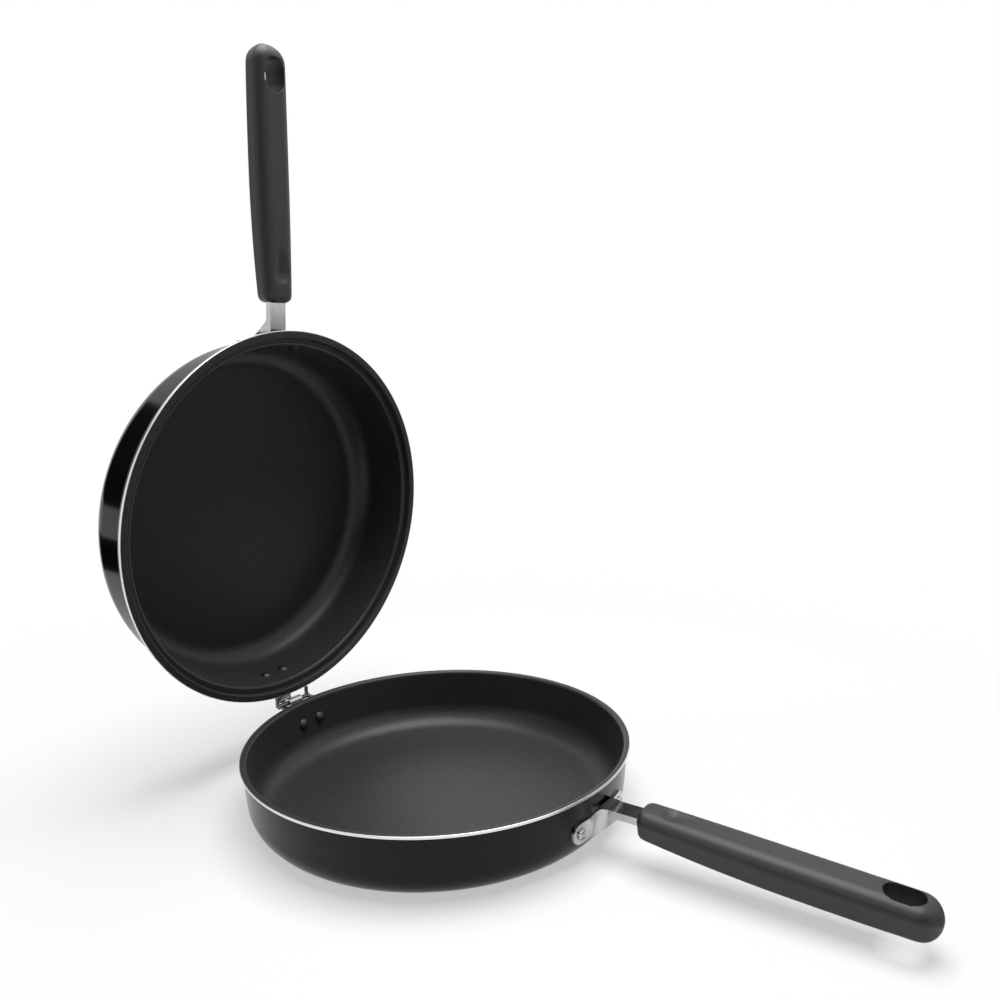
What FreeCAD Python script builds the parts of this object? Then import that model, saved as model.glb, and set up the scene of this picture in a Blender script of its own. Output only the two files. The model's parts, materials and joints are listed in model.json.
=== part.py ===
import FreeCAD, Part
import math
import os

# Double sided flip pan: a shallow lower frying pan and a slightly wider upper one, joined at
# the back by a slotted plate and a hook, each with a long grip on the side away from the hinge.
# The upper pan is shown standing open. Turned down about the hinge bar it closes over the
# lower pan, with its stepped lip round the lower rim.
#
# Frame: origin at the middle of the lower pan's base, +X along the lower handle, hinge bar
# parallel to Y on the -X side, +Z up. Lengths are in millimetres and angles in degrees.
#
# Every piece is first built in its own pan's frame: rim plane at z = 0, the pan below it and
# the handle along +X. Depths are measured down from the rim plane. The hinge pieces are built
# on the +X side too and then turned to the back.

# Pans
LOWER_RIM_RADIUS = 120.0
LOWER_HEIGHT = 41.5
UPPER_HEIGHT = 49.0
SHEET = 2.6
WALL_TILT = 4.5
BEAD_OVERHANG = 1.4
BEAD_HEIGHT = 1.8
EDGE_BREAK = 0.4
RIM_ROUND = 2.2

# Stepped lip of the upper pan
LIP_STEP = 3.5
LIP_THICKNESS = 3.4
LIP_ROUND = 1.0
LEDGE_WIDTH = 2.8
LIP_SIDE_GAP = 1.2
SEAT_GAP = 0.3

# Hinge: a slotted plate with a round outer bar, and a hook that curls round the bar
HINGE_STANDOFF = 6.0
HINGE_DEPTH = 4.4
OPEN_ANGLE = 85.5
BAR_RADIUS = 1.6
RUNNING_GAP = 0.08
PLATE_SHEET = 1.5
PLATE_WIDTH = 28.0
PLATE_LEG_DEPTH = 22.5
SLOT_WIDTH = 5.2
SLOT_LENGTH = 22.4
SLOT_ROUND = 2.0
STOP_LUG_LENGTH = 2.2
STOP_LUG_OFFSET = 0.4
STOP_GAP = 0.3
HOOK_SHEET = 1.5
HOOK_WIDTH = 11.0
HOOK_WRAP = 240.0
HOOK_PAD_WIDTH = 26.0
HOOK_LEG_DEPTH = 26.0
HOOK_SHOULDER_GAP = 1.0
BEND_RADIUS = 1.5
LEG_ROUND = 4.0
HINGE_RIVET_PITCH = 15.6
LOWER_HINGE_RIVET_DEPTH = 15.7
UPPER_HINGE_RIVET_DEPTH = 18.4

# Handle bracket: a channel shaped tang with two wings that hug the wall
BRACKET_SHEET = 1.5
TANG_SHOULDER_GAP = 4.9
TANG_WIDTH = 12.6
TANG_FLANGE = 4.2
TANG_IN_GRIP = 38.0
WING_BEND_RADIUS = 7.0
WING_FLARE_LENGTH = 11.5
WING_FLARE_ROUND = 3.0
WING_HEIGHT = 12.8
WING_RIVET_OFFSET = 21.0
WING_RIVET_DROP = 9.5
WING_SHOULDER_WIDTH = 6.5
WING_SHOULDER_ROUND = 5.0

# Rivets
RIVET_RADIUS = 2.0
RIVET_HEAD_RADIUS = 3.9
RIVET_HEAD_HEIGHT = 1.9
RIVET_HEAD_OVER_CORNER = 1.4
RIVET_TAIL_WIDTH = 5.6
RIVET_TAIL_HEIGHT = 1.3
RIVET_TAIL_ROUND = 1.4

# Grips
GRIP_STANDOFF = 17.0
GRIP_LENGTH = 156.0
GRIP_FRONT_WIDTH = 22.0
GRIP_MIDDLE_WIDTH = 25.6
GRIP_TIP_WIDTH = 24.8
GRIP_FRONT_THICKNESS = 16.5
GRIP_MIDDLE_THICKNESS = 19.5
GRIP_TIP_THICKNESS = 18.0
GRIP_BOTTOM_WIDTH = 17.0
GRIP_CROWN_WIDTH = 17.0
GRIP_WIDEST_DEPTH = 5.5
GRIP_TOP_RISE = 5.2
GRIP_DROOP = 2.5
GRIP_CROWN_ROUND = 7.0
GRIP_SIDE_ROUND = 4.0
GRIP_BOTTOM_ROUND = 4.0
GRIP_FRONT_ROUND = 5.5
GRIP_FRONT_EDGE_ROUND = 3.5
GRIP_TIP_TOP_ROUND = 10.0
GRIP_TIP_BOTTOM_ROUND = 9.0
HANG_HOLE_WIDTH = 15.0
HANG_HOLE_LENGTH = 20.0
HANG_HOLE_INSET = 18.5
DIMPLE_INSET = 12.0
DIMPLE_RADIUS = 12.2
DIMPLE_DEPTH = 2.2
DIMPLE_LENGTH = 24.0
DIMPLE_RISE = 7.8

# Grip screws, each with a split washer in a recess under its grip
SCREW_INSET = 26.0
SCREW_RADIUS = 2.0
SCREW_HEAD_RADIUS = 3.6
SCREW_HEAD_HEIGHT = 2.2
SCREW_SLOT_WIDTH = 0.9
SCREW_SLOT_DEPTH = 1.0
SCREW_RECESS = 4.0
WASHER_THICKNESS = 1.0
WASHER_SPLIT = 0.7

# Clearances and the overrun of cuts
FIT_GAP = 0.05
WALL_GAP = 0.12
SOCKET_GAP = 0.15
RECESS_GAP = 0.5
OVERRUN = 10.0

# Counts of sections along a grip, and the turn at which its round tip is cut off flat
FRONT_SECTION_COUNT = 5
MIDDLE_SECTION_COUNT = 5
TIP_SECTION_COUNT = 9
TIP_LAST_ANGLE = 80.0

X_AXIS = FreeCAD.Vector(1, 0, 0)
Y_AXIS = FreeCAD.Vector(0, 1, 0)
Z_AXIS = FreeCAD.Vector(0, 0, 1)
CENTRE = FreeCAD.Vector(0, 0, 0)
TILT = math.radians(WALL_TILT)
SHORTEST_EDGE = FreeCAD.Base.Precision.confusion()

# The upper lip follows the lower rim, so that it drops over that rim and seats on it
LIP_INNER_RADIUS = LOWER_RIM_RADIUS + LIP_SIDE_GAP
LIP_OUTER_RADIUS = LIP_INNER_RADIUS + LIP_THICKNESS
UPPER_RIM_RADIUS = LIP_OUTER_RADIUS + BEAD_OVERHANG
LIP_OVERLAP = LIP_STEP - SEAT_GAP
SHOULDER_DEPTH = LIP_STEP + LIP_THICKNESS

# The hinge bar and the grips stand off from the upper rim
HINGE_RADIUS = UPPER_RIM_RADIUS + HINGE_STANDOFF
GRIP_START = UPPER_RIM_RADIUS + GRIP_STANDOFF

# Both tangs lie clear below the upper lip's shoulder, and rivets, wings and grips follow them
TANG_DEPTH = SHOULDER_DEPTH + TANG_SHOULDER_GAP
HANDLE_RIVET_DEPTH = TANG_DEPTH + WING_RIVET_DROP
WING_TOP_DEPTH = HANDLE_RIVET_DEPTH - WING_HEIGHT / 2
WING_BOTTOM_DEPTH = HANDLE_RIVET_DEPTH + WING_HEIGHT / 2
GRIP_TOP_DEPTH = TANG_DEPTH - GRIP_TOP_RISE

# The corner fills the lower pan's height from its base up to where the inner wall runs straight,
# which the heads of the handle rivets only just reach over
STRAIGHT_WALL_DEPTH = HANDLE_RIVET_DEPTH + RIVET_HEAD_RADIUS - RIVET_HEAD_OVER_CORNER
CORNER_RADIUS = (LOWER_HEIGHT - STRAIGHT_WALL_DEPTH - SHEET * math.sin(TILT)) / (1 - math.sin(TILT))

# Outer wall radius of each pan, carried on up to its rim plane
LOWER_WALL_RADIUS = LOWER_RIM_RADIUS - BEAD_OVERHANG
UPPER_WALL_RADIUS = (
    LIP_INNER_RADIUS - LEDGE_WIDTH
    + (SHEET - RIM_ROUND) / math.cos(TILT)
    + (LIP_STEP + RIM_ROUND) * math.tan(TILT)
)


def vec(x, y, z):
    """Point or direction."""
    return FreeCAD.Vector(x, y, z)


def arc(start, middle, end):
    """Arc edge through three points."""
    return Part.Arc(start, middle, end).toShape()


def line(start, end):
    """Straight edge."""
    return Part.LineSegment(start, end).toShape()


def arc_about(centre, start, end):
    """The shorter arc from start to end round a centre."""
    radius = (start - centre).Length
    towards = ((start - centre) + (end - centre)).normalize()
    return arc(start, centre + towards * radius, end)


def closed_face(edges):
    """Face inside a closed run of edges."""
    return Part.Face(Part.Wire(edges))


def rounded_wire(corners):
    """Closed wire through corner points, each given with the radius that rounds it."""
    spans = []
    for index, (point, radius) in enumerate(corners):
        before = (corners[index - 1][0] - point).normalize()
        after = (corners[(index + 1) % len(corners)][0] - point).normalize()
        if radius == 0:
            spans.append((point, point, point))
            continue
        half = before.getAngle(after) / 2
        reach = radius / math.tan(half)
        nearest = radius / math.sin(half) - radius
        bisector = (before + after).normalize()
        spans.append((point + before * reach, point + bisector * nearest, point + after * reach))
    edges = []
    for index, (start, middle, end) in enumerate(spans):
        if (end - start).Length > SHORTEST_EDGE:
            edges.append(arc(start, middle, end))
        following = spans[(index + 1) % len(spans)][0]
        if (following - end).Length > SHORTEST_EDGE:
            edges.append(line(end, following))
    return Part.Wire(edges)


def outline(corners):
    """Flat face through rounded corners."""
    return Part.Face(rounded_wire(corners))


def block(low, high):
    """Box between two opposite corners."""
    size = high - low
    return Part.makeBox(size.x, size.y, size.z, low)


def revolved(edges):
    """Solid of revolution about the pan's axis."""
    return closed_face(edges).revolve(CENTRE, Z_AXIS, 360)


def to_back(shape):
    """The same shape turned from the handle side to the hinge side."""
    turned = shape.copy()
    turned.rotate(CENTRE, Z_AXIS, 180)
    return turned


def mirrored(shape):
    """The same shape on the other side of the handle's middle plane."""
    return shape.mirror(CENTRE, Y_AXIS)


class Pan:
    """The sizes of one pan that its shell and fittings follow."""

    def __init__(self, height, wall_radius, hinge_rivet_depth):
        self.height = height
        self.wall_radius = wall_radius
        self.hinge_rivet_depth = hinge_rivet_depth

    def outer(self, depth):
        """Outer radius of the wall at a depth."""
        return self.wall_radius - depth * math.tan(TILT)

    def inner(self, depth):
        """Inner radius of the wall at a depth."""
        return self.outer(depth) - SHEET / math.cos(TILT)

    def wall_point(self, sideways, depth):
        """Point on the wall's outer face at a distance from the handle's middle plane."""
        radius = self.outer(depth)
        return vec(math.sqrt(radius ** 2 - sideways ** 2), sideways, -depth)

    def wall_normal(self, sideways, depth):
        """Outward normal of the wall at that point."""
        point = self.wall_point(sideways, depth)
        flat = vec(point.x, point.y, 0).normalize()
        return flat * math.cos(TILT) - Z_AXIS * math.sin(TILT)

    def bowl_edges(self, outer_top, rim_depth):
        """Edges from the base's middle up to outer_top, and from the rim's round down again.

        Returns the outer run, the point where the rim's round meets the flat and the inner run.
        """
        centre_depth = self.height - CORNER_RADIUS
        centre = vec(
            self.wall_radius - (CORNER_RADIUS + centre_depth * math.sin(TILT)) / math.cos(TILT),
            0,
            -centre_depth,
        )
        out = vec(math.cos(TILT), 0, -math.sin(TILT))
        inside_radius = CORNER_RADIUS - SHEET
        base = centre - Z_AXIS * CORNER_RADIUS
        floor = centre - Z_AXIS * inside_radius
        outer_wall = centre + out * CORNER_RADIUS
        inner_wall = centre + out * inside_radius
        outer_run = [
            line(vec(0, 0, base.z), base),
            arc_about(centre, base, outer_wall),
            line(outer_wall, outer_top),
        ]
        round_depth = rim_depth + RIM_ROUND
        round_centre = vec(self.inner(round_depth) + RIM_ROUND / math.cos(TILT), 0, -round_depth)
        round_top = round_centre + Z_AXIS * RIM_ROUND
        round_end = round_centre - out * RIM_ROUND
        inner_run = [
            arc_about(round_centre, round_top, round_end),
            line(round_end, inner_wall),
            arc_about(centre, inner_wall, floor),
            line(floor, vec(0, 0, floor.z)),
            line(vec(0, 0, floor.z), vec(0, 0, base.z)),
        ]
        return outer_run, round_top, inner_run


def bead_edges(start, rim_radius, inside):
    """Turned bead at a rim: out from start, up the bare edge and in over the flat to inside."""
    points = [
        start,
        vec(rim_radius, 0, -BEAD_HEIGHT),
        vec(rim_radius, 0, -EDGE_BREAK),
        vec(rim_radius - EDGE_BREAK, 0, 0),
        inside,
    ]
    return [line(points[i], points[i + 1]) for i in range(len(points) - 1)]


def lower_shell(pan):
    """Lower pan: pressed bowl with a small turned bead round its rim."""
    outer_top = vec(pan.outer(BEAD_HEIGHT), 0, -BEAD_HEIGHT)
    outer_run, round_top, inner_run = pan.bowl_edges(outer_top, 0)
    bead = bead_edges(outer_top, LOWER_RIM_RADIUS, round_top)
    return revolved(outer_run + bead + inner_run)


def upper_shell(pan):
    """Upper pan: the same bowl with a stepped lip that drops over the lower rim."""
    outer_top = vec(pan.outer(SHOULDER_DEPTH), 0, -SHOULDER_DEPTH)
    outer_run, round_top, inner_run = pan.bowl_edges(outer_top, LIP_STEP)
    step = vec(LIP_INNER_RADIUS, 0, -LIP_STEP)
    under_step = vec(LIP_INNER_RADIUS, 0, -SHOULDER_DEPTH)
    beside_step = vec(LIP_OUTER_RADIUS, 0, -LIP_STEP)
    under_bead = vec(LIP_OUTER_RADIUS, 0, -BEAD_HEIGHT)
    lip_top = vec(LIP_INNER_RADIUS + LIP_ROUND, 0, 0)
    lip_side = vec(LIP_INNER_RADIUS, 0, -LIP_ROUND)
    lip_centre = vec(LIP_INNER_RADIUS + LIP_ROUND, 0, -LIP_ROUND)
    lip = [
        line(outer_top, under_step),
        arc_about(step, under_step, beside_step),
        line(beside_step, under_bead),
    ]
    lip += bead_edges(under_bead, UPPER_RIM_RADIUS, lip_top)
    lip += [
        arc_about(lip_centre, lip_top, lip_side),
        line(lip_side, step),
        line(step, round_top),
    ]
    return revolved(outer_run + lip + inner_run)


def along_wall_normal(shape, pan, sideways, depth):
    """Move a shape built up +Z from the wall's inner face to its place on the wall."""
    normal = pan.wall_normal(sideways, depth)
    foot = pan.wall_point(sideways, depth) - normal * SHEET
    placed = shape.copy()
    placed.Placement = FreeCAD.Placement(foot, FreeCAD.Rotation(Z_AXIS, normal))
    return placed


def rivet_hole(pan, sideways, depth):
    """Cutter for a rivet's hole through the wall and what is fixed to it."""
    drill = Part.makeCylinder(RIVET_RADIUS + FIT_GAP, SHEET + 2 * OVERRUN, vec(0, 0, -OVERRUN))
    return along_wall_normal(drill, pan, sideways, depth)


def rivet(pan, sideways, depth, sheet):
    """Rivet with a domed head inside the pan and a squarish clenched tail outside."""
    seat = -WALL_GAP
    dome_radius = (RIVET_HEAD_RADIUS ** 2 + RIVET_HEAD_HEIGHT ** 2) / (2 * RIVET_HEAD_HEIGHT)
    crown = vec(0, 0, seat - RIVET_HEAD_HEIGHT)
    dome_centre = crown + Z_AXIS * dome_radius
    brim = vec(RIVET_HEAD_RADIUS, 0, seat)
    stack = SHEET + 2 * WALL_GAP + sheet + FIT_GAP
    shank_foot = vec(RIVET_RADIUS, 0, seat)
    shank_top = vec(RIVET_RADIUS, 0, stack)
    pin = revolved([
        arc_about(dome_centre, crown, brim),
        line(brim, shank_foot),
        line(shank_foot, shank_top),
        line(shank_top, vec(0, 0, stack)),
        line(vec(0, 0, stack), crown),
    ])
    half = RIVET_TAIL_WIDTH / 2
    corners = [(-half, -half), (half, -half), (half, half), (-half, half)]
    tail = outline([(vec(x, y, stack), RIVET_TAIL_ROUND) for x, y in corners])
    whole = pin.fuse(tail.extrude(Z_AXIS * RIVET_TAIL_HEIGHT)).removeSplitter()
    return along_wall_normal(whole, pan, sideways, depth)


def leg_radius(pan, depth, sheet):
    """Outer radius, at a depth, of a sheet that lies on the wall."""
    return pan.outer(depth) + WALL_GAP + sheet


def flat_start(pan, top_depth, sheet):
    """Distance from the pan's axis at which a bent plate's flat begins, past its bend."""
    return leg_radius(pan, top_depth, sheet) + BEND_RADIUS


def wall_angle(pan, top_depth, leg_depth, width, sheet):
    """Plate bent over at the top: a leg curved to the wall, and the start of its flat."""
    flat = flat_start(pan, top_depth, sheet)
    reach = math.hypot(flat, width / 2) + FIT_GAP
    under = top_depth + sheet
    leg_end = leg_depth + OVERRUN
    profile = outline([
        (vec(leg_radius(pan, leg_end, 0), 0, -leg_end), 0),
        (vec(leg_radius(pan, leg_end, sheet), 0, -leg_end), 0),
        (vec(leg_radius(pan, under, sheet), 0, -under), BEND_RADIUS),
        (vec(reach, 0, -under), 0),
        (vec(reach, 0, -top_depth), 0),
        (vec(leg_radius(pan, top_depth, 0), 0, -top_depth), BEND_RADIUS + sheet),
    ])
    sweep = math.degrees(math.asin(width / flat))
    profile.rotate(CENTRE, Z_AXIS, -sweep / 2)
    bent = profile.revolve(CENTRE, Z_AXIS, sweep)
    half = width / 2
    front = outline([
        (vec(0, -half, 0), 0),
        (vec(0, half, 0), 0),
        (vec(0, half, -leg_depth), LEG_ROUND),
        (vec(0, -half, -leg_depth), LEG_ROUND),
    ])
    return bent.common(front.extrude(X_AXIS * (reach + OVERRUN)))


def stop_lug_top():
    """Height over the hinge bar's axis at which the upper pan's bead comes down on a lug."""
    sideways = PLATE_WIDTH / 2 - PLATE_SHEET
    to_bead = HINGE_RADIUS - math.sqrt(UPPER_RIM_RADIUS ** 2 - sideways ** 2)
    turn = math.radians(OPEN_ANGLE)
    return (to_bead + STOP_LUG_OFFSET * math.cos(turn)) / math.sin(turn) - STOP_GAP


def lower_hinge_plate(pan):
    """Slotted plate on the lower pan, with a round bar along its outer edge and two stop lugs."""
    top_depth = HINGE_DEPTH - PLATE_SHEET / 2
    under = top_depth + PLATE_SHEET
    half = PLATE_WIDTH / 2
    angle = wall_angle(pan, top_depth, PLATE_LEG_DEPTH, PLATE_WIDTH, PLATE_SHEET)
    flat = block(
        vec(flat_start(pan, top_depth, PLATE_SHEET), -half, -under),
        vec(HINGE_RADIUS, half, -top_depth),
    )
    slot_end = SLOT_LENGTH / 2
    slot_start = HINGE_RADIUS - BAR_RADIUS - SLOT_WIDTH
    slot = outline([
        (vec(slot_start, -slot_end, -under), SLOT_ROUND),
        (vec(HINGE_RADIUS + BAR_RADIUS, -slot_end, -under), 0),
        (vec(HINGE_RADIUS + BAR_RADIUS, slot_end, -under), 0),
        (vec(slot_start, slot_end, -under), SLOT_ROUND),
    ])
    plate = angle.fuse(flat).cut(slot.extrude(Z_AXIS * PLATE_SHEET))
    bar = Part.makeCylinder(BAR_RADIUS, PLATE_WIDTH, vec(HINGE_RADIUS, -half, -HINGE_DEPTH), Y_AXIS)
    lug_low = vec(HINGE_RADIUS + STOP_LUG_OFFSET, half - PLATE_SHEET, -under)
    lug_high = vec(lug_low.x + STOP_LUG_LENGTH, half, stop_lug_top() - HINGE_DEPTH)
    lug = block(lug_low, lug_high)
    plate = plate.fuse([bar, lug, mirrored(lug)]).removeSplitter()
    return plate.cut(hinge_rivet_holes(pan))


def upper_hinge_hook(pan):
    """Hook plate on the upper pan, which curls round the lower plate's bar."""
    axis = vec(HINGE_RADIUS, 0, HINGE_DEPTH - LIP_OVERLAP)
    inside = BAR_RADIUS + RUNNING_GAP
    outside = inside + HOOK_SHEET
    top_depth = SHOULDER_DEPTH + HOOK_SHOULDER_GAP
    under = top_depth + HOOK_SHEET
    flat = flat_start(pan, top_depth, HOOK_SHEET)
    angle = wall_angle(pan, top_depth, HOOK_LEG_DEPTH, HOOK_PAD_WIDTH, HOOK_SHEET)
    half = HOOK_WIDTH / 2
    stem = outline([
        (vec(axis.x + inside, -half, axis.z), 0),
        (vec(axis.x + outside, -half, axis.z), 0),
        (vec(axis.x + outside, -half, -under), BEND_RADIUS + HOOK_SHEET),
        (vec(flat, -half, -under), 0),
        (vec(flat, -half, -top_depth), 0),
        (vec(axis.x + inside, -half, -top_depth), BEND_RADIUS),
    ])
    curl = []
    for radius in (inside, outside):
        points = []
        for share in (0, 0.5, 1):
            turn = math.radians(HOOK_WRAP * share)
            points.append(axis + vec(radius * math.cos(turn), -half, radius * math.sin(turn)))
        curl.append(points)
    inner, outer = curl
    curl_face = closed_face([
        arc(*outer),
        line(outer[-1], inner[-1]),
        arc(*reversed(inner)),
        line(inner[0], outer[0]),
    ])
    tongue = [face.extrude(Y_AXIS * HOOK_WIDTH) for face in (stem, curl_face)]
    hook = angle.fuse(tongue).removeSplitter()
    return hook.cut(hinge_rivet_holes(pan))


def hinge_rivet_holes(pan):
    """Cutters for the two hinge rivets, on the handle side before the turn to the back."""
    offset = HINGE_RIVET_PITCH / 2
    return [rivet_hole(pan, side * offset, pan.hinge_rivet_depth) for side in (-1, 1)]


def handle_rivet_places():
    """Sideways place and depth of the two rivets in the bracket's wings."""
    return [(side * WING_RIVET_OFFSET, HANDLE_RIVET_DEPTH) for side in (-1, 1)]


def handle_bracket(pan):
    """Stamped bracket: a channel shaped tang whose flanges flare into wings along the wall."""
    half = TANG_WIDTH / 2
    end = GRIP_START + TANG_IN_GRIP
    wall = pan.outer(TANG_DEPTH) + WALL_GAP
    face = wall + BRACKET_SHEET
    bend_y = -half - WING_BEND_RADIUS
    bend = vec(math.sqrt((face + WING_BEND_RADIUS) ** 2 - bend_y ** 2), bend_y, 0)
    towards = vec(bend.x, bend.y, 0).normalize()
    lobe = WING_HEIGHT / 2
    wing_end = WING_RIVET_OFFSET + lobe + OVERRUN
    tips = [vec(math.sqrt(radius ** 2 - wing_end ** 2), -wing_end, 0) for radius in (face, wall)]
    outer_flange = vec(bend.x, -half, 0)
    inner_flange = vec(bend.x, -half + BRACKET_SHEET, 0)
    path = closed_face([
        line(vec(end, -half, 0), outer_flange),
        arc_about(bend, outer_flange, towards * face),
        arc_about(CENTRE, towards * face, tips[0]),
        line(tips[0], tips[1]),
        arc_about(CENTRE, tips[1], towards * wall),
        arc_about(bend, towards * wall, inner_flange),
        line(inner_flange, vec(end, -half + BRACKET_SHEET, 0)),
        line(vec(end, -half + BRACKET_SHEET, 0), vec(end, -half, 0)),
    ])
    path.translate(vec(0, 0, -TANG_DEPTH))
    drop = WING_BOTTOM_DEPTH - TANG_DEPTH + BRACKET_SHEET
    side = path.extrude(vec(-drop * math.tan(TILT), 0, -drop))
    reach = WING_RIVET_OFFSET + lobe
    front = outline([
        (vec(0, 0, -TANG_DEPTH), 0),
        (vec(0, -half - BRACKET_SHEET, -TANG_DEPTH), BRACKET_SHEET),
        (vec(0, -half - WING_SHOULDER_WIDTH, -WING_TOP_DEPTH), WING_SHOULDER_ROUND),
        (vec(0, -reach, -WING_TOP_DEPTH), lobe),
        (vec(0, -reach, -WING_BOTTOM_DEPTH), lobe),
        (vec(0, 0, -WING_BOTTOM_DEPTH), 0),
    ])
    flange_depth = TANG_DEPTH + TANG_FLANGE
    flank = outline([
        (vec(0, -wing_end, -TANG_DEPTH), 0),
        (vec(end, -wing_end, -TANG_DEPTH), 0),
        (vec(end, -wing_end, -flange_depth), 0),
        (vec(face + WING_FLARE_LENGTH, -wing_end, -flange_depth), WING_FLARE_ROUND),
        (vec(face, -wing_end, -WING_BOTTOM_DEPTH), WING_FLARE_ROUND),
        (vec(0, -wing_end, -WING_BOTTOM_DEPTH), 0),
    ])
    side = side.common(front.extrude(X_AXIS * (end + OVERRUN)))
    side = side.common(flank.extrude(Y_AXIS * wing_end))
    tang = block(vec(face, -half, -TANG_DEPTH - BRACKET_SHEET), vec(end, half, -TANG_DEPTH))
    bracket = tang.fuse([side, mirrored(side)]).removeSplitter()
    holes = [rivet_hole(pan, sideways, depth) for sideways, depth in handle_rivet_places()]
    holes.append(Part.makeCylinder(
        SCREW_RADIUS + FIT_GAP,
        BRACKET_SHEET + 2 * OVERRUN,
        vec(GRIP_START + SCREW_INSET, 0, -TANG_DEPTH - BRACKET_SHEET - OVERRUN),
    ))
    return bracket.cut(holes)


def grip_placement():
    """A grip's own frame: its front at the middle of its top, drooping away from the pan."""
    turn = FreeCAD.Rotation(Y_AXIS, GRIP_DROOP)
    return FreeCAD.Placement(vec(GRIP_START, 0, -GRIP_TOP_DEPTH), turn)


def round_off(distance, radius):
    """How far a quarter round of a radius draws an edge in, at a distance from the end."""
    short = max(0, radius - distance)
    return radius - math.sqrt(radius ** 2 - short ** 2)


def along_grip(front, middle, tip, along):
    """Width or thickness at a distance from the front, before the ends are rounded."""
    halfway = GRIP_LENGTH / 2
    end = front if along < halfway else tip
    share = abs(along - halfway) / halfway
    return middle + (end - middle) * share ** 2


def grip_width(along):
    """Width at a distance from the front."""
    return along_grip(GRIP_FRONT_WIDTH, GRIP_MIDDLE_WIDTH, GRIP_TIP_WIDTH, along)


def grip_thickness(along):
    """Thickness at a distance from the front."""
    return along_grip(GRIP_FRONT_THICKNESS, GRIP_MIDDLE_THICKNESS, GRIP_TIP_THICKNESS, along)


def full_grip_section():
    """Six sided rounded section of a grip at its middle, with its top at the origin."""
    widest = -GRIP_WIDEST_DEPTH
    half = GRIP_MIDDLE_WIDTH / 2
    bottom_half = GRIP_BOTTOM_WIDTH / 2
    crown_half = GRIP_CROWN_WIDTH / 2
    return rounded_wire([
        (vec(0, -bottom_half, -GRIP_MIDDLE_THICKNESS), GRIP_BOTTOM_ROUND),
        (vec(0, bottom_half, -GRIP_MIDDLE_THICKNESS), GRIP_BOTTOM_ROUND),
        (vec(0, half, widest), GRIP_SIDE_ROUND),
        (vec(0, crown_half, 0), GRIP_CROWN_ROUND),
        (vec(0, -crown_half, 0), GRIP_CROWN_ROUND),
        (vec(0, -half, widest), GRIP_SIDE_ROUND),
    ])


def grip_section(along):
    """Section of a grip, drawn in where the front and the tip are rounded."""
    from_tip = GRIP_LENGTH - along
    half = (
        grip_width(along) / 2
        - round_off(along, GRIP_FRONT_ROUND)
        - round_off(from_tip, GRIP_TIP_WIDTH / 2)
    )
    top = -round_off(along, GRIP_FRONT_EDGE_ROUND) - round_off(from_tip, GRIP_TIP_TOP_ROUND)
    bottom = (
        round_off(along, GRIP_FRONT_EDGE_ROUND)
        + round_off(from_tip, GRIP_TIP_BOTTOM_ROUND)
        - grip_thickness(along)
    )
    draw_in = FreeCAD.Matrix()
    draw_in.A22 = 2 * half / GRIP_MIDDLE_WIDTH
    draw_in.A33 = (top - bottom) / GRIP_MIDDLE_THICKNESS
    draw_in.A14 = along
    draw_in.A34 = top
    return full_grip_section().transformGeometry(draw_in)


def even_shares(count):
    """Shares from 0 to 1 in even steps."""
    return [index / (count - 1) for index in range(count)]


def grip_spans():
    """Distances from the front of the sections of a grip's front, its middle and its tip."""
    tip_round = GRIP_TIP_WIDTH / 2
    tip_start = GRIP_LENGTH - tip_round
    front, middle, tip = [], [], []
    for share in even_shares(FRONT_SECTION_COUNT):
        front.append(GRIP_FRONT_ROUND * (1 - math.cos(math.radians(90 * share))))
    for share in even_shares(MIDDLE_SECTION_COUNT):
        middle.append(GRIP_FRONT_ROUND + (tip_start - GRIP_FRONT_ROUND) * share)
    for share in even_shares(TIP_SECTION_COUNT):
        tip.append(tip_start + tip_round * math.sin(math.radians(TIP_LAST_ANGLE * share)))
    return front, middle, tip


def grip_body():
    """Grip before it is cut: a front, a middle and a tip that run into each other."""
    spans = []
    for stations in grip_spans():
        spans.append(Part.makeLoft([grip_section(along) for along in stations], True, False))
    return spans[0].fuse(spans[1:])


def grip_dimple():
    """Cutter for the thumb dimple: a round end near the pan that fades out along the top."""
    half_width = math.sqrt(2 * DIMPLE_RADIUS * DIMPLE_DEPTH - DIMPLE_DEPTH ** 2)
    centre = vec(DIMPLE_INSET + half_width, 0, DIMPLE_RADIUS - DIMPLE_DEPTH)
    rise = math.radians(DIMPLE_RISE)
    direction = vec(math.cos(rise), 0, math.sin(rise))
    ball = Part.makeSphere(DIMPLE_RADIUS, centre)
    trough = Part.makeCylinder(DIMPLE_RADIUS, DIMPLE_LENGTH, centre, direction)
    return ball.fuse(trough)


def hanging_hole():
    """Cutter for the oval hanging hole near the tip."""
    end = HANG_HOLE_WIDTH / 2
    middle = GRIP_LENGTH - HANG_HOLE_INSET
    half_length = HANG_HOLE_LENGTH / 2
    low = -GRIP_MIDDLE_THICKNESS - OVERRUN
    corners = [
        (vec(middle - half_length, -end, low), end),
        (vec(middle + half_length, -end, low), end),
        (vec(middle + half_length, end, low), end),
        (vec(middle - half_length, end, low), end),
    ]
    return outline(corners).extrude(Z_AXIS * (GRIP_MIDDLE_THICKNESS + 2 * OVERRUN))


def screw_seat_depth():
    """Depth of the screw's seat: the floor of its recess in the underside of the grip."""
    droop = math.radians(GRIP_DROOP)
    underside = grip_thickness(SCREW_INSET) / math.cos(droop) + SCREW_INSET * math.tan(droop)
    return GRIP_TOP_DEPTH + underside - SCREW_RECESS


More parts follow.
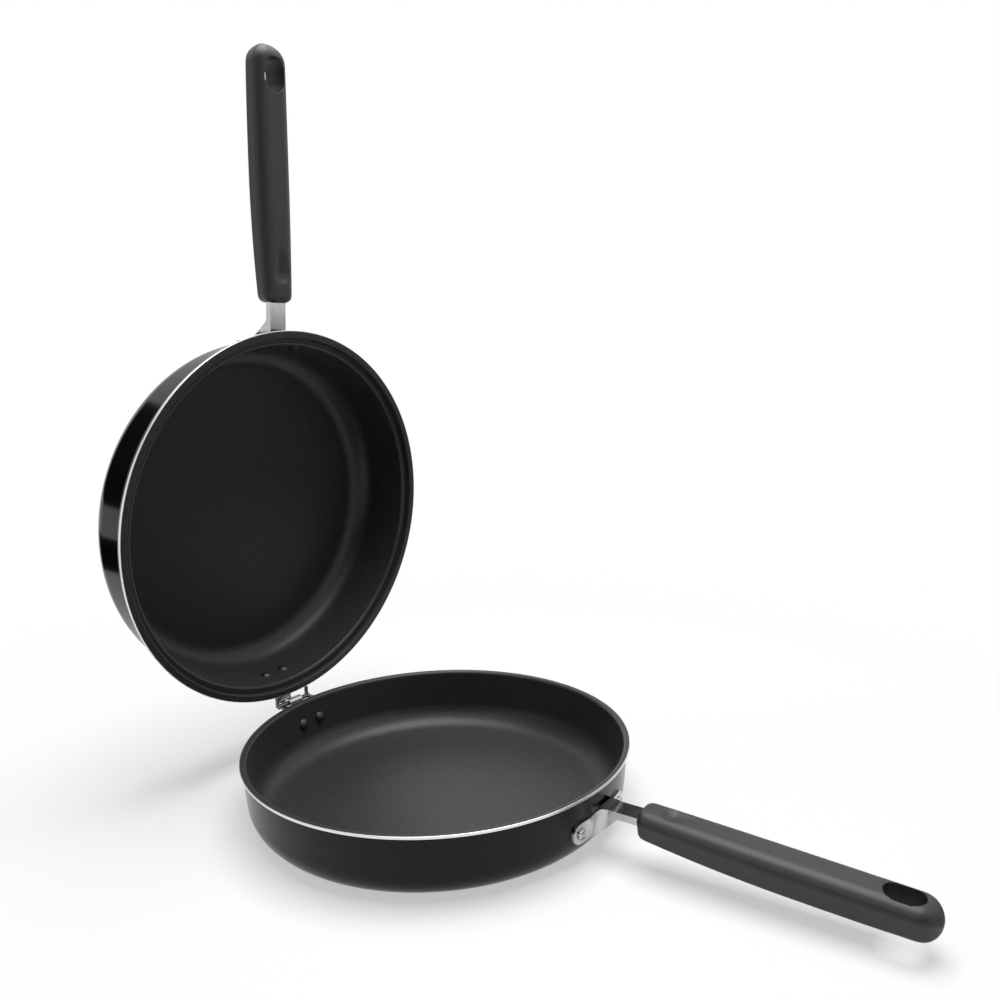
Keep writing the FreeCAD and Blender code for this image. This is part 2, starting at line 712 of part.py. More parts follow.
def grip():
    """Moulded grip with a socket for the tang, a screw recess, a thumb dimple and a hole."""
    body = grip_body().cut([grip_dimple(), hanging_hole()])
    body.Placement = grip_placement()
    half = TANG_WIDTH / 2 + SOCKET_GAP
    socket = block(
        vec(GRIP_START - OVERRUN, -half, -TANG_DEPTH - TANG_FLANGE - SOCKET_GAP),
        vec(GRIP_START + TANG_IN_GRIP + SOCKET_GAP, half, -TANG_DEPTH + SOCKET_GAP),
    )
    along = GRIP_START + SCREW_INSET
    seat = screw_seat_depth()
    recess_foot = vec(along, 0, -seat - SCREW_RECESS - OVERRUN)
    recess = Part.makeCylinder(SCREW_HEAD_RADIUS + RECESS_GAP, SCREW_RECESS + OVERRUN, recess_foot)
    bore = Part.makeCylinder(SCREW_RADIUS + SOCKET_GAP, seat - TANG_DEPTH, vec(along, 0, -seat))
    return body.cut([socket, recess, bore])


def grip_washer():
    """Split spring washer between the grip's recess and the screw's head."""
    foot = vec(GRIP_START + SCREW_INSET, 0, -screw_seat_depth() - WASHER_THICKNESS)
    disc = Part.makeCylinder(SCREW_HEAD_RADIUS, WASHER_THICKNESS, foot)
    bore = Part.makeCylinder(SCREW_RADIUS + SOCKET_GAP, WASHER_THICKNESS, foot)
    split = block(
        foot + vec(0, -WASHER_SPLIT / 2, 0),
        foot + vec(SCREW_HEAD_RADIUS + OVERRUN, WASHER_SPLIT / 2, WASHER_THICKNESS),
    )
    return disc.cut([bore, split])


def grip_screw():
    """Slotted screw up through the grip's underside into the tang."""
    seat = -screw_seat_depth() - WASHER_THICKNESS
    foot = vec(GRIP_START + SCREW_INSET, 0, seat - SCREW_HEAD_HEIGHT)
    head = Part.makeCylinder(SCREW_HEAD_RADIUS, SCREW_HEAD_HEIGHT, foot)
    shank = Part.makeCylinder(SCREW_RADIUS, -TANG_DEPTH - foot.z, foot)
    slot = block(
        foot + vec(-SCREW_HEAD_RADIUS - OVERRUN, -SCREW_SLOT_WIDTH / 2, 0),
        foot + vec(SCREW_HEAD_RADIUS + OVERRUN, SCREW_SLOT_WIDTH / 2, SCREW_SLOT_DEPTH),
    )
    return head.fuse(shank).removeSplitter().cut(slot)


def drilled_shell(shell, pan):
    """Shell with the rivet holes for its bracket and for its hinge piece."""
    holes = [rivet_hole(pan, sideways, depth) for sideways, depth in handle_rivet_places()]
    holes += [to_back(hole) for hole in hinge_rivet_holes(pan)]
    return shell.cut(holes)


def pan_pieces(prefix, pan, shell, hinge_name, hinge_piece):
    """All the pieces of one pan, by name, in that pan's frame."""
    pieces = {
        prefix + "_pan_shell": drilled_shell(shell, pan),
        prefix + "_handle_bracket": handle_bracket(pan),
        prefix + "_grip": grip(),
        prefix + "_grip_screw": grip_screw(),
        prefix + "_grip_washer": grip_washer(),
        prefix + "_" + hinge_name: to_back(hinge_piece),
    }
    for label, (sideways, depth) in zip(("right", "left"), handle_rivet_places()):
        pieces[f"{prefix}_handle_rivet_{label}"] = rivet(pan, sideways, depth, BRACKET_SHEET)
    for label, side in (("left", -1), ("right", 1)):
        sideways = side * HINGE_RIVET_PITCH / 2
        built = rivet(pan, sideways, pan.hinge_rivet_depth, PLATE_SHEET)
        pieces[f"{prefix}_hinge_rivet_{label}"] = to_back(built)
    return pieces


def open_placement():
    """Where the upper pan's frame stands when it is open: turned over, set down, swung up."""
    over = FreeCAD.Placement(vec(0, 0, LOWER_HEIGHT - LIP_OVERLAP), FreeCAD.Rotation(X_AXIS, 180))
    bar = vec(-HINGE_RADIUS, 0, LOWER_HEIGHT - HINGE_DEPTH)
    swing = FreeCAD.Placement(CENTRE, FreeCAD.Rotation(Y_AXIS, -OPEN_ANGLE), bar)
    return swing * over


def export(pieces, placement):
    """Write each piece of one pan to its own file, at its place on the whole object."""
    for name, shape in pieces.items():
        shape.Placement = placement * shape.Placement
        shape.exportStep(f"parts/{name}.step")
        print(f"{name}: {len(shape.Solids)} solid, {shape.Volume:.0f} mm3, valid {shape.isValid()}")


lower = Pan(LOWER_HEIGHT, LOWER_WALL_RADIUS, LOWER_HINGE_RIVET_DEPTH)
upper = Pan(UPPER_HEIGHT, UPPER_WALL_RADIUS, UPPER_HINGE_RIVET_DEPTH)
lower_pieces = pan_pieces("lower", lower, lower_shell(lower), "hinge_plate", lower_hinge_plate(lower))
upper_pieces = pan_pieces("upper", upper, upper_shell(upper), "hinge_hook", upper_hinge_hook(upper))

os.makedirs("parts", exist_ok=True)
export(lower_pieces, FreeCAD.Placement(vec(0, 0, LOWER_HEIGHT), FreeCAD.Rotation()))
export(upper_pieces, open_placement())
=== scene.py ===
"""Looks of a double sided flip pan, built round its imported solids.

Lengths are in millimetres unless a name says otherwise, and become metres where a mesh is made.
Every piece is shaped in its own pan's frame, with the rim plane at z = 0, the pan below it and
the handle along +X, and is then placed on the whole object.
"""

import json
import logging
import math
from abc import ABC, abstractmethod
from collections.abc import Callable, Iterator
from contextlib import contextmanager
from dataclasses import KW_ONLY, dataclass, field
from enum import Enum

import bmesh
import bpy
from mathutils import Matrix, Vector


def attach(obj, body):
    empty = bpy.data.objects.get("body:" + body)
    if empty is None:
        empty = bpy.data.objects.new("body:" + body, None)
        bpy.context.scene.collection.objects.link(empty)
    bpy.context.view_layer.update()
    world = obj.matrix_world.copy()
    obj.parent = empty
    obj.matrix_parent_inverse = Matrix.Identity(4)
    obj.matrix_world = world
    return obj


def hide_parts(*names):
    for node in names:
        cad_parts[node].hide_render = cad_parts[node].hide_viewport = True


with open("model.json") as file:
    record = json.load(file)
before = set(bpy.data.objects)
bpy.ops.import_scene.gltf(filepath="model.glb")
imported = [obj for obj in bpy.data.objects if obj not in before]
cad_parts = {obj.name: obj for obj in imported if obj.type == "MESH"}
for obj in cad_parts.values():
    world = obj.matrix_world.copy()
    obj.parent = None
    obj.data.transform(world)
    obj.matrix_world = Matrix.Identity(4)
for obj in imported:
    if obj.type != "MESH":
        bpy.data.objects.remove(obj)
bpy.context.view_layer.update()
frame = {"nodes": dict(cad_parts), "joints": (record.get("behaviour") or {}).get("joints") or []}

LOG = logging.getLogger("flip_pan")
MM = 0.001
# Places that are nearer to each other than this, in metres, count as the same.
NEAR = 0.01 * MM
# How far the walls of both pans lean outward.
TILT = math.radians(4.5)
QUARTER_TURN = math.pi / 2

Piece = bpy.types.Object
Material = bpy.types.Material
Tree = bpy.types.NodeTree
Socket = bpy.types.NodeSocket
# What leads a finish's colour, its roughness and its relief.
Patterns = tuple[Socket, Socket, Socket]
Test = Callable[[Vector], bool]
# Radius and depth on a bowl.
ProfilePoint = tuple[float, float]
# Half width, top and bottom of a grip.
Section = tuple[float, float, float]


class Body(Enum):
    """The two bodies that the hinge joins."""

    LOWER = "lower_pan"
    UPPER = "upper_pan"


class Slot(Enum):
    """Material slots of the record, listed with the pressed parts but not given to any piece."""

    COATING = "pan_coating"
    BRACKET = "bracket_steel"
    HINGE = "hinge_steel"
    RIVET = "rivet_black"
    GRIP = "grip_phenolic"


class Element(Enum):
    """What a selection is made of."""

    VERTEX = "VERT"
    EDGE = "EDGE"
    FACE = "FACE"


class Zone(Enum):
    """Surfaces of a shell, in the order of its material slots."""

    OUTSIDE = 0
    BARE = 1
    INSIDE = 2


Run = tuple[Zone, list[ProfilePoint]]


# Work at the bench: selecting, shaping and finishing a mesh


def activate(piece: Piece) -> None:
    """Make one object the only selected and active one.

    Args:
        piece: the object.
    """
    bpy.ops.object.select_all(action="DESELECT")
    piece.select_set(True)
    bpy.context.view_layer.objects.active = piece


@contextmanager
def editing(piece: Piece) -> Iterator[None]:
    """Work in edit mode.

    Args:
        piece: the object that is edited.
    """
    activate(piece)
    bpy.ops.object.mode_set(mode="EDIT")
    yield
    bpy.ops.object.mode_set(mode="OBJECT")


def select(piece: Piece, element: Element, test: Test) -> None:
    """Select what passes a test, in edit mode.

    Args:
        piece: the object that is being edited.
        element: whether vertices, edges or faces are selected.
        test: says of an element's middle, in metres, whether it is selected.
    """
    bpy.ops.mesh.select_mode(type=element.value)
    bpy.ops.mesh.select_all(action="DESELECT")
    mesh = bmesh.from_edit_mesh(piece.data)
    if element is Element.VERTEX:
        found = [vertex for vertex in mesh.verts if test(vertex.co)]
    elif element is Element.EDGE:
        found = [edge for edge in mesh.edges if test((edge.verts[0].co + edge.verts[1].co) / 2)]
    else:
        found = [face for face in mesh.faces if test(face.calc_center_median())]
    for item in found:
        item.select_set(True)
    bmesh.update_edit_mesh(piece.data)


def set_in_place(piece: Piece, place: Matrix | None = None) -> None:
    """Bake a place into a piece's mesh, so that its object stays at the origin.

    Args:
        piece: the object.
        place: where it goes, or None where it already stands there.
    """
    if place is not None:
        piece.matrix_world = place
    activate(piece)
    bpy.ops.object.transform_apply(location=True, rotation=True, scale=True)


def primitive(
    name: str, add: Callable[..., object], place: Matrix | None = None, **settings: object
) -> Piece:
    """Start a piece from a primitive.

    Args:
        name: the piece's name.
        add: the operator that adds the primitive.
        place: its place, where the operator's own settings don't give it.
        settings: the operator's settings by name.

    Returns:
        The new piece, with its place in its mesh.
    """
    bpy.ops.object.select_all(action="DESELECT")
    add(**settings)
    piece = bpy.context.object
    piece.name = name
    piece.data.name = name
    set_in_place(piece, place)
    return piece


def finish_with(piece: Piece, kind: str, **settings: object) -> None:
    """Add a modifier to a piece and apply it.

    Args:
        piece: the object that gets the modifier.
        kind: the modifier's type.
        settings: its settings by name.
    """
    modifier = piece.modifiers.new(kind.title(), kind)
    for key, value in settings.items():
        setattr(modifier, key, value)
    activate(piece)
    bpy.ops.object.modifier_apply(modifier=modifier.name)


def cut_away(piece: Piece, cutter: Piece) -> None:
    """Cut a cutter out of a piece and throw the cutter away."""
    finish_with(piece, "BOOLEAN", operation="DIFFERENCE", object=cutter, solver="EXACT")
    bpy.data.objects.remove(cutter)


def join(pieces: list[Piece]) -> Piece:
    """Join pieces, with their materials.

    Args:
        pieces: the pieces, of which the first takes up the others.

    Returns:
        The first piece.
    """
    activate(pieces[0])
    for piece in pieces:
        piece.select_set(True)
    bpy.ops.object.join()
    return pieces[0]


def smooth_by_angle(piece: Piece, degrees: float) -> None:
    """Shade a piece smooth, and keep its broad faces flat.

    Args:
        piece: the object.
        degrees: the angle from which an edge stays sharp.
    """
    activate(piece)
    bpy.ops.object.shade_smooth_by_angle(angle=math.radians(degrees))
    finish_with(piece, "WEIGHTED_NORMAL", keep_sharp=True)


def turn_outward(piece: Piece) -> None:
    """Make all the faces of a piece point outwards.

    Args:
        piece: the object, a closed shape.
    """
    with editing(piece):
        bpy.ops.mesh.select_all(action="SELECT")
        bpy.ops.mesh.normals_make_consistent(inside=False)


def copy_of(model: Piece, name: str) -> Piece:
    """Copy a finished shape.

    Args:
        model: the shape that is copied.
        name: the copy's name.

    Returns:
        The copy, with a mesh of its own.
    """
    piece = model.copy()
    piece.data = model.data.copy()
    piece.name = name
    piece.data.name = name
    bpy.context.scene.collection.objects.link(piece)
    return piece


def dress(piece: Piece, *materials: Material) -> None:
    """Give a piece its materials.

    Args:
        piece: the object.
        materials: its materials, in the order of its slots.
    """
    piece.data.materials.clear()
    for material in materials:
        piece.data.materials.append(material)


def hand_over(piece: Piece, body: Body, node: str) -> None:
    """Fix a finished piece to its body in place of its plain solid.

    Args:
        piece: the finished object.
        body: the body that it moves with.
        node: name of the solid that it stands for.
    """
    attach(piece, body.value)
    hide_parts(node)
    triangles = sum(len(face.vertices) - 2 for face in piece.data.polygons)
    LOG.info("%s: %d triangles on %s, for %s", piece.name, triangles, body.value, node)


# Finishes


def linear(colour: str) -> tuple[float, float, float, float]:
    """Turn an sRGB colour to the linear values that shaders read.

    Args:
        colour: the colour in hex digits after a hash.

    Returns:
        Red, green and blue, with full opacity.
    """
    values = []
    for start in (1, 3, 5):
        share = int(colour[start : start + 2], 16) / 255
        values.append(share / 12.92 if share <= 0.04045 else ((share + 0.055) / 1.055) ** 2.4)
    return (*values, 1.0)


def per_metre(size: float) -> float:
    """Scale of a pattern whose features are a number of millimetres apart."""
    return 1 / (size * MM)


def empty_tree(owner: Material | bpy.types.World) -> Tree:
    """Turn on nodes and clear them.

    Args:
        owner: the material or surround that they belong to.

    Returns:
        Its empty tree.
    """
    owner.use_nodes = True
    owner.node_tree.nodes.clear()
    return owner.node_tree


def add_node(
    tree: Tree, kind: str, inputs: dict[str | int, object] | None = None, **settings: object
) -> bpy.types.Node:
    """Add a node with its settings and links.

    Args:
        tree: the tree that gets the node.
        kind: the node's type.
        inputs: a constant or another node's socket for each input, by name or number.
        settings: the node's own settings by name.

    Returns:
        The new node.
    """
    node = tree.nodes.new(kind)
    for key, value in settings.items():
        setattr(node, key, value)
    for key, value in (inputs or {}).items():
        if isinstance(value, Socket):
            tree.links.new(value, node.inputs[key])
        else:
            node.inputs[key].default_value = value
    return node


@dataclass(frozen=True)
class PatternFrame:
    """Where a pattern's own frame stands on the object, in metres and radians."""

    place: tuple[float, float, float] = (0.0, 0.0, 0.0)
    turn: tuple[float, float, float] = (0.0, 0.0, 0.0)

    def coordinates(self, tree: Tree) -> Socket:
        """Count object coordinates in this frame.

        Args:
            tree: the material's tree.

        Returns:
            The coordinates.
        """
        source = add_node(tree, "ShaderNodeTexCoord").outputs["Object"]
        mapping = add_node(
            tree,
            "ShaderNodeMapping",
            {"Vector": source, "Location": self.place, "Rotation": self.turn},
            vector_type="TEXTURE",
        )
        return mapping.outputs["Vector"]


@dataclass(frozen=True)
class Finish(ABC):
    """A finish that varies between two colours and two roughnesses, over a fine relief.

    The first of each pair shows where its pattern is low, and the second where it is high.
    """

    name: str
    pattern: PatternFrame = PatternFrame()
    _: KW_ONLY
    colours: tuple[str, str]
    roughness: tuple[float, float]
    relief: float

    @abstractmethod
    def draw(self, tree: Tree, where: Socket) -> Patterns:
        """Draw the finish's patterns.

        Args:
            tree: the material's tree.
            where: the coordinates that the patterns are drawn on.

        Returns:
            What leads the colour, the roughness and the relief.
        """

    @abstractmethod
    def constants(self) -> dict[str, object]:
        """What is the same all over the surface, by the names of the shader's sockets."""

    def lay_over(self, tree: Tree, where: Socket, ground: Socket) -> Socket:
        """Colour with all that lies over the ground, which on most finishes is nothing."""
        return ground

    def build(self) -> Material:
        """Build the finish's material.

        Returns:
            The material, under the finish's name.
        """
        material = bpy.data.materials.new(self.name)
        tree = empty_tree(material)
        where = self.pattern.coordinates(tree)
        tint, polish, relief = self.draw(tree, where)
        ground = add_node(
            tree,
            "ShaderNodeMix",
            {0: tint, 6: linear(self.colours[0]), 7: linear(self.colours[1])},
            data_type="RGBA",
        )
        rough = add_node(
            tree,
            "ShaderNodeMapRange",
            {"Value": polish, "To Min": self.roughness[0], "To Max": self.roughness[1]},
        )
        bump = add_node(tree, "ShaderNodeBump", {"Height": relief, "Distance": self.relief * MM})
        shader = add_node(
            tree,
            "ShaderNodeBsdfPrincipled",
            {
                "Base Color": self.lay_over(tree, where, ground.outputs[2]),
                "Roughness": rough.outputs["Result"],
                "Normal": bump.outputs["Normal"],
                **self.constants(),
            },
        )
        add_node(tree, "ShaderNodeOutputMaterial", {"Surface": shader.outputs[0]})
        return material


@dataclass(frozen=True)
class Resin(Finish):
    """A finish of paint or plastic."""

    _: KW_ONLY
    ior: float
    specular: float

    def constants(self) -> dict[str, object]:
        """A resin's gloss."""
        return {"IOR": self.ior, "Specular IOR Level": self.specular}


@dataclass(frozen=True)
class Metal(Finish):
    """A finish of bare metal, which keeps the shader's own IOR."""

    def constants(self) -> dict[str, object]:
        """A metal's gloss."""
        return {"Metallic": 1.0}


@dataclass(frozen=True)
class NonstickCoating(Resin):
    """Nonstick fluoropolymer coating, sprayed on in layers with mineral flakes and cured.

    It is charcoal rather than black, with a soft sheen, a fine orange peel and pale specks.
    """

    colours: tuple[str, str] = ("#323031", "#3E3C3D")
    roughness: tuple[float, float] = (0.32, 0.44)
    relief: float = 0.07
    ior: float = 1.38
    specular: float = 0.5
    mottle: float = 5.0
    peel: float = 1.1
    speck: str = "#5A5758"
    speck_spacing: float = 1.8
    speck_share: float = 0.1

    def draw(self, tree: Tree, where: Socket) -> Patterns:
        """Draw the mottle of the layers and the orange peel.

        Args:
            tree: the material's tree.
            where: the coordinates that they are drawn on.

        Returns:
            The mottle for the colour, and the peel for roughness and relief.
        """
        mottle = add_node(
            tree,
            "ShaderNodeTexNoise",
            {"Vector": where, "Scale": per_metre(self.mottle), "Detail": 5.0, "Roughness": 0.6},
        )
        peel = add_node(
            tree, "ShaderNodeTexNoise", {"Vector": where, "Scale": per_metre(self.peel), "Detail": 3.0}
        )
        return mottle.outputs["Fac"], peel.outputs["Fac"], peel.outputs["Fac"]

    def lay_over(self, tree: Tree, where: Socket, ground: Socket) -> Socket:
        """Scatter the mineral flakes over the ground.

        Args:
            tree: the material's tree.
            where: the coordinates that the flakes are scattered on.
            ground: the coating's own colour.

        Returns:
            The colour with its flakes.
        """
        cells = add_node(
            tree,
            "ShaderNodeTexVoronoi",
            {"Vector": where, "Scale": per_metre(self.speck_spacing), "Randomness": 1.0},
        )
        specks = add_node(
            tree,
            "ShaderNodeMapRange",
            {
                "Value": cells.outputs["Distance"],
                "From Min": self.speck_share,
                "From Max": 2 * self.speck_share,
                "To Min": 1.0,
                "To Max": 0.0,
            },
        )
        colour = add_node(
            tree,
            "ShaderNodeMix",
            {0: specks.outputs["Result"], 6: ground, 7: linear(self.speck)},
            data_type="RGBA",
        )
        return colour.outputs[2]


@dataclass(frozen=True)
class StovePaint(Resin):
    """Heat resistant silicone paint, sprayed on the outside and baked.

    It is black and smooth, with long soft reflections and a faint orange peel.
    """

    colours: tuple[str, str] = ("#0B0B0C", "#151516")
    roughness: tuple[float, float] = (0.16, 0.24)
    relief: float = 0.003
    ior: float = 1.5
    specular: float = 0.2
    cloud: float = 30.0
    peel: float = 2.2

    def draw(self, tree: Tree, where: Socket) -> Patterns:
        """Draw broad clouds, where the paint is paler and duller, and the orange peel.

        Args:
            tree: the material's tree.
            where: the coordinates that they are drawn on.

        Returns:
            The clouds for colour and roughness, and the peel for the relief.
        """
        cloud = add_node(
            tree, "ShaderNodeTexNoise", {"Vector": where, "Scale": per_metre(self.cloud), "Detail": 4.0}
        )
        peel = add_node(
            tree, "ShaderNodeTexNoise", {"Vector": where, "Scale": per_metre(self.peel), "Detail": 2.0}
        )
        return cloud.outputs["Fac"], cloud.outputs["Fac"], peel.outputs["Fac"]


@dataclass(frozen=True)
class TurnedAluminium(Metal):
    """Aluminium, turned bare round the rim after coating.

    It is bright and silvery, with fine lines that run round the pan. The tool marks are drawn
    at 0.35 mm, coarser than they are, so that they show.
    """

    colours: tuple[str, str] = ("#F4F4F2", "#D2D2CF")
    roughness: tuple[float, float] = (0.22, 0.38)
    relief: float = 0.006
    tool_mark: float = 0.35

    def draw(self, tree: Tree, where: Socket) -> Patterns:
        """Draw the tool marks on the distance from the pan's axis and the height.

        Args:
            tree: the material's tree.
            where: the coordinates, with Z along the pan's axis.

        Returns:
            The marks, for all three.
        """
        parts = add_node(tree, "ShaderNodeSeparateXYZ", {"Vector": where})
        flat = add_node(tree, "ShaderNodeCombineXYZ", {0: parts.outputs[0], 1: parts.outputs[1]})
        radius = add_node(tree, "ShaderNodeVectorMath", {0: flat.outputs[0]}, operation="LENGTH")
        around = add_node(
            tree, "ShaderNodeCombineXYZ", {0: radius.outputs["Value"], 1: parts.outputs[2]}
        )
        marks = add_node(
            tree,
            "ShaderNodeTexNoise",
            {"Vector": around.outputs[0], "Scale": per_metre(self.tool_mark), "Detail": 2.0},
        )
        return marks.outputs["Fac"], marks.outputs["Fac"], marks.outputs["Fac"]


@dataclass(frozen=True)
class RolledSteel(Metal):
    """Stainless steel strip, stamped and bent, with the grain of the rolling mill.

    It is bright where it is polished and greyer where it is only tumbled, with short fine lines
    along the strip. The grain is drawn at 0.25 mm, coarser than it is, so that it shows.
    """

    colours: tuple[str, str] = ("#D2D2D0", "#A9A8A5")
    roughness: tuple[float, float] = (0.16, 0.34)
    relief: float = 0.003
    grain: float = 0.25
    grain_length: float = 9.0

    def draw(self, tree: Tree, where: Socket) -> Patterns:
        """Draw the clouds of the strip and the grain along it.

        Args:
            tree: the material's tree.
            where: the coordinates, with X along the strip.

        Returns:
            The clouds for the colour, and the grain for roughness and relief.
        """
        along, across = per_metre(self.grain_length), per_metre(self.grain)
        stretched = add_node(
            tree, "ShaderNodeMapping", {"Vector": where, "Scale": (along, across, across)}
        )
        grain = add_node(
            tree,
            "ShaderNodeTexNoise",
            {"Vector": stretched.outputs["Vector"], "Scale": 1.0, "Detail": 3.0},
        )
        cloud = add_node(tree, "ShaderNodeTexNoise", {"Vector": where, "Scale": along, "Detail": 4.0})
        return cloud.outputs["Fac"], grain.outputs["Fac"], grain.outputs["Fac"]


@dataclass(frozen=True)
class MouldedPhenolic(Resin):
    """Phenolic resin, compression moulded in a finely eroded mould.

    It is a matte dark grey that looks paler where light grazes it, with a dry fine grain. The
    grain is drawn at 0.5 mm, coarser than it is, so that it shows.
    """

    colours: tuple[str, str] = ("#1B1B1B", "#272727")
    roughness: tuple[float, float] = (0.42, 0.56)
    relief: float = 0.035
    ior: float = 1.6
    specular: float = 0.4
    grain: float = 0.5
    cloud: float = 14.0

    def draw(self, tree: Tree, where: Socket) -> Patterns:
        """Draw the grain of the mould, and its blend with broad clouds.

        Args:
            tree: the material's tree.
            where: the coordinates that they are drawn on.

        Returns:
            The blend for the colour, and the grain for roughness and relief.
        """
        grain = add_node(
            tree,
            "ShaderNodeTexNoise",
            {"Vector": where, "Scale": per_metre(self.grain), "Detail": 4.0, "Roughness": 0.65},
        )
        cloud = add_node(
            tree, "ShaderNodeTexNoise", {"Vector": where, "Scale": per_metre(self.cloud), "Detail": 3.0}
        )
        blend = add_node(
            tree,
            "ShaderNodeMath",
            {0: grain.outputs["Fac"], 1: cloud.outputs["Fac"]},
            operation="MULTIPLY",
        )
        spread = add_node(
            tree,
            "ShaderNodeMapRange",
            {"Value": blend.outputs[0], "From Min": 0.1, "From Max": 0.45},
        )
        return spread.outputs["Result"], grain.outputs["Fac"], grain.outputs["Fac"]


# The pans and their fittings


@dataclass(frozen=True)
class Hinge:
    """The hinge bar and the open angle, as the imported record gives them."""

    axis: Vector
    open_angle: float

    @classmethod
    def of_record(cls) -> "Hinge":
        """Read the pan hinge from the frame's joints."""
        joint = frame["joints"][0]
        return cls(Vector(joint["pos_m"]), math.radians(joint["range_deg"][1]))

    def lower_place(self, rim_height: float) -> Matrix:
        """Place of the lower pan's frame, with its rim at a height in metres."""
        return Matrix.Translation((0, 0, rim_height))

    def upper_place(self, closed_height: float) -> Matrix:
        """Place the upper pan's frame.

        Args:
            closed_height: height of the frame when the pan is closed, in metres.

        Returns:
            Its place when the pan stands open.
        """
        over = Matrix.Translation((0, 0, closed_height)) @ Matrix.Rotation(math.pi, 4, "X")
        swing = Matrix.Rotation(-self.open_angle, 4, "Y")
        return Matrix.Translation(self.axis) @ swing @ Matrix.Translation(-self.axis) @ over


def arc(middle: ProfilePoint, radius: float, last: float, steps: int) -> list[ProfilePoint]:
    """Draw an arc of a bowl's profile.

    Args:
        middle: radius and depth of the arc's middle.
        radius: the arc's own radius, counted from below the middle outward. A negative one
            draws from above the middle inward.
        last: the angle at which the arc ends, in radians.
        steps: how many steps it is drawn in.

    Returns:
        The points of the arc, with both its ends.
    """
    points = []
    for step in range(steps + 1):
        turn = last * step / steps
        points.append((middle[0] + radius * math.sin(turn), middle[1] + radius * math.cos(turn)))
    return points


